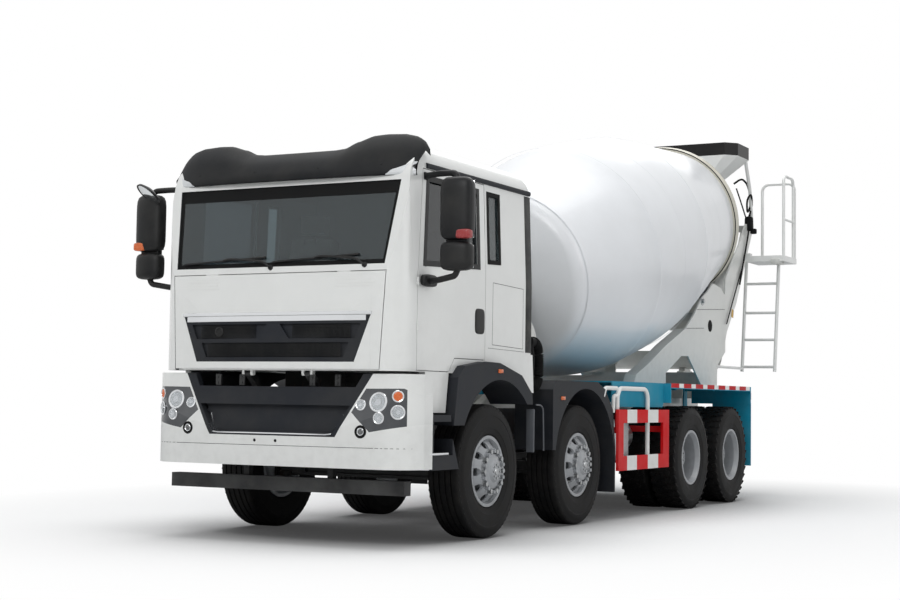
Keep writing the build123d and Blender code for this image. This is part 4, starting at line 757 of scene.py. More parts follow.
# ------------------------------------------------------------------ wheels
@dataclass
class Wheels:
    """The twelve tyres, the wheel nuts and the hub bolts, in millimetres where nothing else is said."""

    section: tuple = (           # a 12.00R20 tyre's half section, as distance from its middle and radius
        (114.5, 262), (118.5, 292), (127, 297), (137, 306), (147, 350), (149, 352), (151, 380),
        (152.5, 421), (151.5, 452), (153.5, 456), (153, 463), (149.5, 486), (146.5, 492), (141, 514))
    crown: float = 550.0
    blocks: tuple = (            # a drive tyre's rows: place, count, width and length (metres), skew
        (112, 36, 0.055, 0.046, 0.30), (53, 40, 0.052, 0.044, -0.35), (0, 40, 0.040, 0.040, 0.35))
    shoulder: tuple = ((133, 60, 0.012, 0.016, 0.0),)      # the same for a steering tyre's edge
    half_track: tuple = (1011.0, 915.0)                    # pairs: steered wheels, twin wheels
    twin_half_spacing: float = 175.0
    disc: tuple = (1175, 929)                              # the discs' outer faces
    hub: tuple = (1223, 1120)                              # the hubs' end faces
    flange: float = 1018                                   # the twin wheels' hub flange
    stud_circle: float = 0.1675                            # metres

    def steer_section(self) -> list[tuple]:
        """A ribbed crown with four grooves, as on a steering tyre."""
        crown = self.crown
        half = list(self.section) + [(136, 530), (129, 541), (118, 546.5), (106, 548.5)]
        for middle in (78, 27):
            half += [(middle + 6.5, crown - 0.5), (middle + 4.5, crown - 13), (middle - 4.5, crown - 13),
                     (middle - 6.5, crown)]
        return half + [(-x, r) for x, r in reversed(half)]

    def drive_section(self) -> list[tuple]:
        """A plain carcass that blocks stand on, as on a drive tyre."""
        half = list(self.section) + [(135, 526), (124, 534), (100, 536), (50, 537)]
        return half + [(-x, r) for x, r in reversed(half)]

    def tyre(self, form: Form, x: float, y: float, drive: bool) -> None:
        """Adds one tyre with its tread.

        Args:
            form: the form that it joins.
            x: the tyre's middle, millimetres to the left.
            y: its axle, millimetres behind the first.
            drive: block tread where true, ribs where false.
        """
        origin, axis = at(x, y, WHEEL_CENTRE * 1000), Vector((1, 0, 0))
        turned(form, self.drive_section() if drive else self.steer_section(), origin, axis, 96)
        height = 0.020 if drive else 0.012
        for off, count, wide, long, skew in self.blocks if drive else self.shoulder:
            for side in ((1, -1) if off else (1,)):
                radius = (self.crown / 1000 - height / 2 - 0.0004) if drive else 0.526
                if drive and off == 112:
                    radius -= 0.0015
                mesh = RING.mesh(count, (height, long, wide), radius, sides=2, turn=(side * skew, 0, 0),
                                 coat=Coat.RUBBER)
                start = math.pi / count * (off == 53)
                spin = Matrix.Rotation(start + (0.04 * side if off else 0), 4, "Z")
                join(form, mesh, facing(origin + axis * (side * off / 1000), axis) @ spin)

    def nuts(self, form: Form, x: float, y: float, out: float, hub: float) -> None:
        """Adds ten hex wheel nuts with washers, and eight bolts on the hub cap.

        Args:
            form: the form that they join.
            x: the disc's outer face, millimetres to the left.
            y: the axle.
            out: 1 on the left, -1 on the right.
            hub: the hub's end face, millimetres to the left.
        """
        centre, axis = WHEEL_CENTRE * 1000, Vector((out, 0, 0))
        join(form, RING.mesh(10, (0.046, 0.046, 0.006), self.stud_circle, sides=20),
             facing(at(x + out * 3, y, centre), axis))
        join(form, RING.mesh(10, (0.041, 0.041, 0.026), self.stud_circle, sides=6),
             facing(at(x + out * 19, y, centre), axis))
        join(form, RING.mesh(8, (0.020, 0.020, 0.010), 0.054, sides=6),
             facing(at(hub + out * 4, y, centre), axis))
        turned(form, ((0, 0), (0, 30), (7, 27), (9, 0)), at(hub, y, centre), axis, 24)

    def build(self) -> None:
        """Makes every wheel's pieces."""
        for side, out in SIDES:
            for axle, place in AXLES.items():
                y, twin = place * 1000, axle in ("third", "fourth")
                many = "s" if twin else ""
                body = f"{axle}_{side}_wheel{many}"
                form = bmesh.new()
                for step in (self.twin_half_spacing, -self.twin_half_spacing) if twin else (0.0,):
                    self.tyre(form, out * (self.half_track[twin] + step), y, twin)
                finish_piece(f"{'block_tyres' if twin else 'ribbed_tyre'}_{axle}_{side}", form,
                             Coat.RUBBER, body, (f"tyre{many}_{axle}_{side}",), 28)
                form = bmesh.new()
                self.nuts(form, out * self.disc[twin], y, out, out * self.hub[twin])
                if twin:
                    join(form, RING.mesh(12, (0.022, 0.022, 0.012), 0.103, sides=6),
                         facing(at(out * self.flange, y, WHEEL_CENTRE * 1000), Vector((out, 0, 0))))
                finish_piece(f"wheel_nuts_{axle}_{side}", form, Coat.ZINC, body)


@dataclass
class Studio:
    """The pale floor, soft lights, white background and camera."""

    lens: float = 63.697
    yaw: float = 28.222
    pitch: float = 3.595
    roll: float = 0.826
    eye: tuple = (7.0641, -15.3127, 1.1281)
    lamps: tuple = (             # name, place, aim, side in metres, watts
        ("top", (0, 0, 17), (0, 0, 0), 16, 2000), ("key", (3, -17, 9), (0, -3, 1.5), 7, 800),
        ("side", (16, -4, 7), (0, 0, 2), 8, 360), ("fill", (-14, -8, 8), (0, -1, 2), 8, 150),
        ("back", (-4, 16, 12), (0, 2, 2), 8, 200))

    def camera(self) -> None:
        """A camera with the view's lens, place and turn."""
        a, e, r = (math.radians(v) for v in (self.yaw, self.pitch, self.roll))
        ahead = Vector((-math.sin(a) * math.cos(e), math.cos(a) * math.cos(e), math.sin(e)))
        right = Vector((math.cos(a), math.sin(a), 0))
        up = right.cross(ahead)
        across, upward = right * math.cos(r) + up * math.sin(r), up * math.cos(r) - right * math.sin(r)
        data = bpy.data.cameras.new("camera")
        data.lens = self.lens
        data.sensor_width = 36
        data.clip_end = 200
        made = bpy.data.objects.new("camera", data)
        turn = Matrix((across, upward, -ahead)).transposed().to_4x4()
        made.matrix_world = Matrix.Translation(self.eye) @ turn
        bpy.context.scene.collection.objects.link(made)
        bpy.context.scene.camera = made

    def light(self, name: str, spot: tuple, aim: tuple, size: float, power: float) -> None:
        """A square area lamp.

        Args:
            name: its name.
            spot: where it stands.
            aim: what it points at.
            size: its side in metres.
            power: its power in watts.
        """
        data = bpy.data.lights.new(name, "AREA")
        data.size = size
        data.energy = power
        made = bpy.data.objects.new(name, data)
        made.matrix_world = facing(Vector(spot), Vector(spot) - Vector(aim))
        bpy.context.scene.collection.objects.link(made)

    def build(self) -> None:
        """Makes the whole stage."""
        scene = bpy.context.scene
        scene.view_settings.view_transform = "Standard"
        world = bpy.data.worlds.new("studio")
        scene.world = world
        world.use_nodes = True
        tree = world.node_tree
        tree.nodes.clear()
        rays = node(tree, "ShaderNodeLightPath").outputs
        direct = math_node(tree, "MAXIMUM", rays["Is Camera Ray"], rays["Is Transmission Ray"])
        seen = math_node(tree, "MAXIMUM", direct, rays["Is Glossy Ray"])
        lit = node(tree, "ShaderNodeBackground", {"Color": linear("#EEF2F5"), "Strength": 0.26})
        plain = node(tree, "ShaderNodeBackground", {"Color": (1, 1, 1, 1), "Strength": 1.0})
        both = node(tree, "ShaderNodeMixShader", {0: seen, 1: lit.outputs[0], 2: plain.outputs[0]})
        node(tree, "ShaderNodeOutputWorld", {"Surface": both.outputs[0]})
        floor = bmesh.new()
        bmesh.ops.create_grid(floor, x_segments=2, y_segments=2, size=60)
        mesh = bpy.data.meshes.new("floor")
        floor.to_mesh(mesh)
        floor.free()
        made = bpy.data.objects.new("floor", mesh)
        made.location = (0, 0, -0.001)
        scene.collection.objects.link(made)
        mesh.materials.append(self.floor_material())
        for lamp in self.lamps:
            self.light(*lamp)

    def floor_material(self) -> bpy.types.Material:
        """Matt pale floor, white to the camera where no shadow falls, with a painted contact shadow where
        the truck occludes it.
        """
        made = bpy.data.materials.new("studio_floor")
        made.use_nodes = True
        tree = made.node_tree
        tree.nodes.clear()
        # painted shadow: the floor's own colour darkens towards #4A4A4C where the truck occludes it
        near = node(tree, "ShaderNodeAmbientOcclusion", {"Distance": 2.4}, samples=12)
        shade = remap(tree, near.outputs["AO"], 0.15, 0.85, 0.0, 1.0)
        matt = node(tree, "ShaderNodeBsdfDiffuse",
                    {"Color": blend(tree, shade, linear("#4A4A4C"), linear("#F4F4F4"))})
        place = node(tree, "ShaderNodeTexCoord").outputs["Object"]
        away = node(tree, "ShaderNodeVectorMath", {0: place, 1: (1.0, 1.4, 1.0)},
                    operation="DIVIDE").outputs[0]
        reach = node(tree, "ShaderNodeVectorMath", {0: away}, operation="LENGTH").outputs["Value"]
        far = remap(tree, reach, 3.2, 6.0, 0.0, 1.0)
        weak = node(tree, "ShaderNodeEmission", {"Color": (1, 1, 1, 1), "Strength": 0.05})
        lit = node(tree, "ShaderNodeAddShader", {0: matt.outputs[0], 1: weak.outputs[0]})
        white = node(tree, "ShaderNodeEmission", {"Color": (1, 1, 1, 1), "Strength": 1.0})
        both = node(tree, "ShaderNodeMixShader", {0: far, 1: lit.outputs[0], 2: white.outputs[0]})
        rays = node(tree, "ShaderNodeLightPath").outputs
        fac = math_node(tree, "MAXIMUM", rays["Is Camera Ray"], rays["Is Transmission Ray"])
        pick = node(tree, "ShaderNodeMixShader", {0: fac, 1: matt.outputs[0], 2: both.outputs[0]})
        node(tree, "ShaderNodeOutputMaterial", {"Surface": pick.outputs[0]})
        return made


def dress_nodes() -> None:
    """Gives every CAD node that stays in view its finish."""
    dress(Coat.CAB_SHELL, "cab_floor", "cab_front", "cab_shell", "cab_roof", "door_left", "door_right")
    dress(Coat.CAB_WHITE, "front_lid", "front_bumper", "access_ladder")
    dress(Coat.DRUM_WHITE, "drum_shell")
    dress(Coat.RING, "roller_ring")
    dress(Coat.STEEL, "support_roller_left", "support_roller_right")
    dress(Coat.CREAM, "mixer_subframe", "rear_pedestal", "water_tank", "chute_swivel")
    dress(Coat.CHUTE_GREY, "main_chute")
    dress(Coat.HOPPER, "feed_hopper")
    dress(Coat.TEAL, "rear_wings")
    dress(Coat.GUARD, "side_guards")
    dress(Coat.CHASSIS, "chassis_frame", "front_suspension", "rear_suspension")
    dress(Coat.IRON, "engine_block", "drum_gearbox")
    dress(Coat.GREY_PLASTIC, "lower_grille", "upper_grille", "roof_visor", "wheel_arch_flares",
          "steps_and_wings")
    dress(Coat.BLACK_PLASTIC, "mirrors_left", "mirrors_right")
    dress(Coat.WINDOW, "cab_glass")
    dress(Coat.SIDE_WINDOW, "door_glass_left", "door_glass_right")
    dress(Coat.LAMP_HOUSING, "headlamps")
    dress(Coat.DASH, "dashboard")
    dress(Coat.SEAT, "seats")
    dress(Coat.TANK, "side_tanks")
    for side in ("left", "right"):
        for axle in ("first", "second"):
            dress(Coat.RUBBER, f"tyre_{axle}_{side}")
            dress(Coat.RIM, f"rim_{axle}_{side}")
            dress(Coat.IRON, f"knuckle_{axle}_{side}")
        for axle in ("third", "fourth"):
            dress(Coat.RUBBER, f"tyres_{axle}_{side}")
            dress(Coat.RIM, f"rims_{axle}_{side}")


# ------------------------------------------------------------------ placing on the frame's surfaces
TREES: dict = {}             # one search tree for each node that is asked for
LAID_SINK = 0.5              # how deep a laid strip's back lies in the surface, in millimetres


def skin(name: str, start: Vector, toward: Vector) -> tuple[Vector, Vector]:
    """Where a ray first meets a CAD node.

    Args:
        name: the node.
        start: the ray's start in the row frame.
        toward: its direction.

    Returns:
        The point and the surface normal there.
    """
    if name not in TREES:
        TREES[name] = BVHTree.FromObject(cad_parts[name], bpy.context.evaluated_depsgraph_get())
    spot, normal, _, _ = TREES[name].ray_cast(start, toward.normalized())
    if spot is None:
        raise ValueError(f"no surface of {name} from {tuple(start)}")
    return spot, normal


def front_skin(name: str, x: float, z: float) -> tuple[Vector, Vector]:
    """The front surface of a node at a millimetre x and z."""
    return skin(name, at(x, -2500, z), Vector((0, 1, 0)))


def laid_strip(form: Form, name: str, path: Sequence[tuple], wide: float, thick: float,
               steps: int) -> None:
    """Lays a flat strip on the front surface of a node.

    Args:
        form: the form that it joins.
        name: the node it lies on.
        path: (x, z) corners of its middle line in millimetres.
        wide: its width in millimetres.
        thick: how far it stands out.
        steps: pieces along each run.
    """
    spots = [path[0]]
    for (xa, za), (xb, zb) in zip(path, path[1:]):
        spots += [(xa + (xb - xa) * i / steps, za + (zb - za) * i / steps) for i in range(1, steps + 1)]
    made = bmesh.new()
    rows = []
    for i, (x, z) in enumerate(spots):
        xa, za = spots[max(i - 1, 0)]
        xb, zb = spots[min(i + 1, len(spots) - 1)]
        along = Vector((xb - xa, zb - za)).normalized()
        across = Vector((-along.y, along.x)) * wide / 2
        row = []
        for sign in (1, -1):
            spot, normal = front_skin(name, x + sign * across.x, z + sign * across.y)
            row += [spot + normal * thick / 1000, spot - normal * LAID_SINK / 1000]
        rows.append([made.verts.new(p) for p in (row[0], row[2], row[3], row[1])])
    tube(made, rows)
    bmesh.ops.recalc_face_normals(made, faces=made.faces)
    add(form, made)


def screen_y(z: float) -> float:
    """The millimetre y of the windscreen's outer face at a height."""
    return SCREEN_FOOT[0] + (z - SCREEN_FOOT[1]) * SCREEN_SLOPE[0] / SCREEN_SLOPE[1]


def on_screen(form: Form, outline: Sequence[tuple], out: float, thick: float) -> None:
    """Adds a flat plate parallel to the windscreen.

    Args:
        form: the form that it joins.
        outline: (x, z) corners in millimetres.
        out: how far its back lies in front of the glass.
        thick: its thickness.
    """
    made = bmesh.new()
    ends = [[made.verts.new(at(x, screen_y(z) - off, z)) for x, z in outline] for off in (out, out + thick)]
    slab(made, ends)
    add(form, made)


@dataclass
class CabFront:
    """Wipers, screen border, pressed ribs, grille trim and mesh, bumper fittings and lamps."""

    wiper_pivots: tuple = (-60.0, 800.0)
    blade: float = 820.0
    spokes: int = 12
    headlamp: tuple = (          # each lamp's x, z and radius, and 1 where it is amber
        (795, 1082, 40, 0), (945, 1105, 74, 0), (1098, 1150, 42, 1), (960, 985, 42, 0), (1098, 1030, 52, 0))

    def wipers(self) -> None:
        """Two parked wipers: cranked arms, blade carriers and rubber blades."""
        form = bmesh.new()
        for pivot in self.wiper_pivots:
            tip = pivot - self.blade - 30
            middle = (pivot - 60 + tip) / 2
            turned(form, ((0, 0), (0, 24), (26, 20), (34, 0)), at(pivot, screen_y(2152), 2142),
                   Vector((0, -1, 0.1)), 20)
            points = path(1, (pivot, screen_y(2150) - 34, 2146), (pivot - 70, screen_y(2185) - 40, 2196),
                          (middle + 60, screen_y(2214) - 40, 2222), (middle, screen_y(2214) - 24, 2214))
            pipe(form, points, 0.0085, 0.04, 8)
            (xa, za), (xb, zb) = (pivot - 60, 2228), (tip, 2186)
            on_screen(form, ((xa, za + 7), (xa, za - 4), (xb, zb - 4), (xb, zb + 7)), 12, 12)
            on_screen(form, ((xa, za - 1), (xa, za - 5), (xb, zb - 5), (xb, zb - 1)), 0.5, 13)
        finish_piece("windscreen_wipers", form, Coat.BLACK_PLASTIC, "cab")

    def border(self) -> None:
        """The fired black band round the windscreen, and its rubber seal."""
        form = bmesh.new()
        on_screen(form, ((-972, 2152), (972, 2152), (975, 2186), (-975, 2186)), 0.2, 1.2)
        on_screen(form, ((-1030, 2700), (1030, 2700), (1038, 2797), (-1038, 2797)), 0.2, 1.2)
        for out in (1, -1):
            on_screen(form, ((out * 976, 2155), (out * 1037, 2796), (out * 1007, 2796), (out * 946, 2155)),
                      0.3, 1.2)
        finish_piece("windscreen_border", form, Coat.SEAL, "cab")

    def ribs(self) -> None:
        """Pressed ribs under the windscreen, a silver strip over the grille, and mesh in its openings."""
        form = bmesh.new()
        for z, low, high in ((2062, 560, 780), (2036, 540, 860), (2010, 560, 900), (1985, 540, 880)):
            for out in (1, -1):
                laid_strip(form, "front_lid", ((out * low, z), (out * high, z)), 7, 2.2, 10)
        finish_piece("pressed_ribs", form, Coat.CAB_WHITE, "front_panel")
        form = bmesh.new()
        laid_strip(form, "upper_grille", ((-836, 1742), (836, 1742)), 42, 7, 40)
        laid_strip(form, "front_lid", ((-884, 1779), (884, 1779)), 22, 6, 40)
        finish_piece("silver_grille_strip", form, Coat.BRIGHT, "front_panel")
        form = bmesh.new()
        for low, high, bottom, top in ((-700, -170, 1592, 1694), (170, 700, 1592, 1694),
                                       (-625, 625, 1446, 1550)):
            spot, _ = front_skin("upper_grille", (low + high) / 2, (bottom + top) / 2)
            face = spot.y - 0.004
            count = int((high - low) / 11)
            row = ROW.mesh(count, (0.0028, 0.004, (top - bottom) / 1000), step=(0.011, 0, 0), sides=2,
                           coat=Coat.BLACK_PLASTIC)
            join(form, row, Matrix.Translation(Vector((low / 1000 + 0.005, face, (bottom + top) / 2000))))
            count = int((top - bottom) / 11)
            row = ROW.mesh(count, ((high - low) / 1000, 0.0032, 0.0028), step=(0, 0, 0.011), sides=2,
                           coat=Coat.BLACK_PLASTIC)
            join(form, row, Matrix.Translation(Vector(((low + high) / 2000, face, bottom / 1000 + 0.005))))
        turned(form, ((0, 0), (0, 42), (8, 40), (12, 30), (6, 24), (6, 0)), at(-520, -1460, 1642),
               Vector((0, -1, 0)), 28)
        finish_piece("grille_mesh", form, Coat.BLACK_PLASTIC, "front_panel")

    def bumper(self) -> None:
        """Lip seam, dark discs painted as the shade in the holes and fog lamp recesses, opening trim,
        brackets behind the open band and small catches.
        """
        form = bmesh.new()
        laid_strip(form, "front_bumper", ((-1180, 759), (1180, 759)), 3.5, 0.6, 60)
        # painted shade: dark discs stand for the shaded recesses round the fog lamps
        for x in (-806, 806):
            spot, normal = front_skin("front_bumper", x, 880)
            turned(form, ((-1, 0), (-1, 50), (3, 49), (4, 44), (2, 40), (2, 0)), spot, normal, 36)
        # painted shade: small dark discs stand for two holes in the bumper
        for x in (-145, 50):
            spot, normal = front_skin("front_bumper", x, 796)
            turned(form, ((-1, 0), (-1, 13), (1, 12), (1, 0)), spot, normal, 20)
        finish_piece("bumper_seam_and_painted_hole_shade", form, Coat.SEAL, "chassis")
        form = bmesh.new()
        laid_strip(form, "lower_grille",
                   ((-622, 1000), (-585, 905), (-548, 857), (-500, 852), (500, 852), (548, 857),
                    (585, 905), (622, 1000)), 9, 5, 8)
        finish_piece("opening_trim", form, Coat.BRIGHT, "chassis")
        form = bmesh.new()
        for x in (-560, -330, 330, 560):
            block(form, (x - 25, x + 25), (-1410, -1396), (1222, 1310), 3)
            for z in (1286, 1242):
                turned(form, ((0, 0), (0, 9), (8, 8), (8, 0)), at(x, -1410, z), Vector((0, -1, 0)), 6)
        finish_piece("bumper_brackets", form, Coat.CHASSIS, "chassis")

    def lamps(self) -> None:
        """Round lamps in each headlamp, and the fog lamps."""
        bright, clear, amber = bmesh.new(), bmesh.new(), bmesh.new()
        for out in (1, -1):
            for x, z, radius, is_amber in self.headlamp:
                spot, normal = front_skin("headlamps", out * x, z)
                lens = amber if is_amber else clear
                turned(bright, ((-2, radius * 0.78), (-2, radius + 3), (4, radius + 4), (8, radius),
                                (6, radius * 0.84), (1, radius * 0.78)), spot, normal, 40)
                turned(bright, ((-1, 0), (-1, radius * 0.8), (2, radius * 0.8), (2.5, radius * 0.4),
                                (5, radius * 0.36), (5, 0)), spot, normal, 40)
                turned(lens, ((3, 0), (3, radius * 0.84), (5, radius * 0.84), (9, radius * 0.5),
                              (10.5, 0)), spot, normal, 32)
                for i in range(self.spokes):
                    spoke = Matrix.Rotation(2 * math.pi * i / self.spokes, 4, "Z")
                    mesh = ROW.mesh(1, (radius * 0.0004, 0.0014, 0.0014), sides=2, coat=Coat.BRIGHT)
                    middle = facing(spot + normal * 0.003, normal)
                    join(bright, mesh, middle @ spoke @ Matrix.Translation((radius * 0.00058, 0, 0)))
            spot, normal = front_skin("front_bumper", out * 806, 880)
            turned(bright, ((-3, 22), (-3, 30), (4, 29), (6, 26), (2, 21)), spot, normal, 36)
            turned(clear, ((-1, 0), (-1, 24), (3, 24), (6, 14), (7, 0)), spot, normal, 32)
        finish_piece("lamp_reflectors", bright, Coat.BRIGHT, "chassis")
        finish_piece("lamp_lenses", clear, Coat.LENS_CLEAR, "chassis")
        finish_piece("turn_lamp_lenses", amber, Coat.LENS_AMBER, "chassis")

    def build(self) -> None:
        """Makes every piece of the front."""
        self.wipers()
        self.border()
        self.ribs()
        self.bumper()
        self.lamps()


@dataclass
class CabSides:
    """Corner strips, markers, step treads and flap edges."""

    def build(self) -> None:
        """Makes every piece of the cab's sides."""
        outline = ((1136, 1545), (1143, 1545), (1143, 2140), (1114, 2905), (1107, 2905), (1136, 2140))
        strips, orange = bmesh.new(), bmesh.new()
        for out in (1, -1):
            prism(strips, [(out * x, z) for x, z in outline], 690, 804, 1)
            block(orange, (out * 1215, out * 1224), (65 - 42, 65 + 42), (1372 - 16, 1372 + 16), 4)
        finish_piece("cab_corner_strips", strips, Coat.GRIME_PLASTIC, "cab")
        finish_piece("flare_markers", orange, Coat.LENS_AMBER, "cab")
        orange, treads, edges = bmesh.new(), bmesh.new(), bmesh.new()
        for out in (1, -1):
            block(orange, (out * 1215, out * 1224), (1328 - 42, 1328 + 42), (1159 - 16, 1159 + 16), 4)
            block(treads, (out * 1120, out * 1226), (-1128, -838), (706, 722), 3)
            block(edges, (out * 1150, out * 1222), (706, 726), (690, 1060), 4)
            pipe(edges, path(out, (1226, 740, 1098), (1226, 885, 1092), (1226, 905, 700)), 0.007, 0.08, 10)
            for z, low, high in ((592, -1110, -665), (702, -1055, -765)):
                join(treads, ROW.mesh(int((high - low) / 18), (0.16, 0.006, 0.005), step=(0, 0.018, 0),
                                      sides=2), Matrix.Translation(at(out * 1120, low + 8, z + 2)))
        finish_piece("wing_markers", orange, Coat.LENS_AMBER, "chassis")
        finish_piece("step_treads", treads, Coat.BRIGHT, "chassis")
        finish_piece("flap_edges", edges, Coat.WORN_EDGE, "chassis")


@dataclass
class Cushion:
    """One stuffed pad: a crowned closed form with sewn channels across it."""

    name: str
    x: tuple
    y: tuple
    z: tuple
    lean: float                  # radians about X, about the pad's foot
    channels: tuple              # where its sewn channels run, along x from -1 to 1
    crown: float                 # how far its middle swells, as a share of its half depth
    face: str = "z"              # the crowned axis
    coat: Coat = Coat.SEAT

    def shape(self, u: float, v: float, w: float) -> Vector:
        """A point of the unit pad: sides pulled in between corners, and a crown with channels."""
        round_off = 0.10
        long = max(abs(u), abs(v), abs(w))
        size = math.sqrt(u * u + v * v + w * w) or 1.0
        ball = Vector((u, v, w)) / size * long
        spot = Vector((u, v, w)).lerp(ball, round_off * 1.6)
        groove = sum(math.exp(-((u - c) / 0.045) ** 2) for c in self.channels)
        if self.face == "z":
            lift = (1 - u * u) * (1 - v * v)
            spot.z += (self.crown * lift - 0.11 * groove * (1 - v ** 4)) * max(w, 0)
            spot.x *= 1 - 0.03 * (1 - v * v) * (1 - w * w)
            spot.y *= 1 - 0.03 * (1 - u * u) * (1 - w * w)
        else:
            lift = (1 - u * u) * (1 - w * w)
            spot.y -= (self.crown * lift - 0.14 * groove * (1 - w ** 4)) * max(-v, 0)
            spot.x *= 1 - 0.03 * (1 - w * w) * (1 - v * v)
            spot.z *= 1 - 0.03 * (1 - u * u) * (1 - v * v)
        return spot

    def build(self) -> None:
        form = bmesh.new()
        bmesh.ops.create_cube(form, size=2.0)
        bmesh.ops.subdivide_edges(form, edges=form.edges[:], cuts=23, use_grid_fill=True)
        low, high = at(self.x[0], self.y[0], self.z[0]), at(self.x[1], self.y[1], self.z[1])
        middle, half = (low + high) / 2, (high - low) / 2
        foot = Vector((middle.x, middle.y, low.z))
        turn = Matrix.Translation(foot) @ Matrix.Rotation(self.lean, 4, "X") @ Matrix.Translation(-foot)
        for vert in form.verts:
            spot = self.shape(*vert.co) * 0.93
            vert.co = turn @ (middle + Vector((spot.x * half.x, spot.y * half.y, spot.z * half.z)))
        bmesh.ops.recalc_face_normals(form, faces=form.faces)
        made = finish_piece(self.name, form, self.coat, "cab", angle=80)


@dataclass
class CabInside:
    """Seats, bunk, seat frames and dashboard details."""

    seat: int = 600              # how far out the seats' middles are

    def build(self) -> None:
        """Makes the cab's furniture."""
        frames = bmesh.new()
        for side, out in SIDES:
            x = out * self.seat
            block(frames, (x - 190, x + 190), (-440, -110), (1390, 1640), 14)
            block(frames, (x - 225, x + 225), (-545, -70), (1640, 1712), 16)
            block(frames, (x - 60, x - 48), (-60, -35), (1700, 2520), 4)
            block(frames, (x + 48, x + 60), (-60, -35), (1700, 2520), 4)
            Cushion(f"seat_cushion_{side}", (x - 245, x + 245), (-575, -60), (1705, 1870), 0.03,
                    (-0.55, 0.55), 0.3).build()
            Cushion(f"seat_back_{side}", (x - 238, x + 238), (-175, -20), (1790, 2560), -0.17, (-0.6, 0.6),
                    0.35, "y").build()
            Cushion(f"headrest_{side}", (x - 140, x + 140), (-30, 70), (2555, 2735), -0.05, (),
                    0.3, "y").build()
        block(frames, (-1050, 1050), (225, 735), (1535, 1690), 10)
        block(frames, (-880, 880), (600, 735), (1388, 1535), 8)
        finish_piece("seat_frames", frames, Coat.DASH, "cab", ("seats",))
        Cushion("bunk_mattress", (-1055, 1055), (218, 738), (1685, 1885), 0.0, (-0.5, 0.0, 0.5), 0.12, "z",
                Coat.BUNK).build()
        trim = bmesh.new()
        for x in (-780, -250, 250, 850):
            block(trim, (x - 70, x + 70), (-1012, -1002), (2092, 2100), 2)
        block(trim, (400, 640), (-985, -955), (2040, 2062), 5, Matrix.Rotation(0.5, 4, "X"))
        finish_piece("dash_details", trim, Coat.BLACK_PLASTIC, "cab")


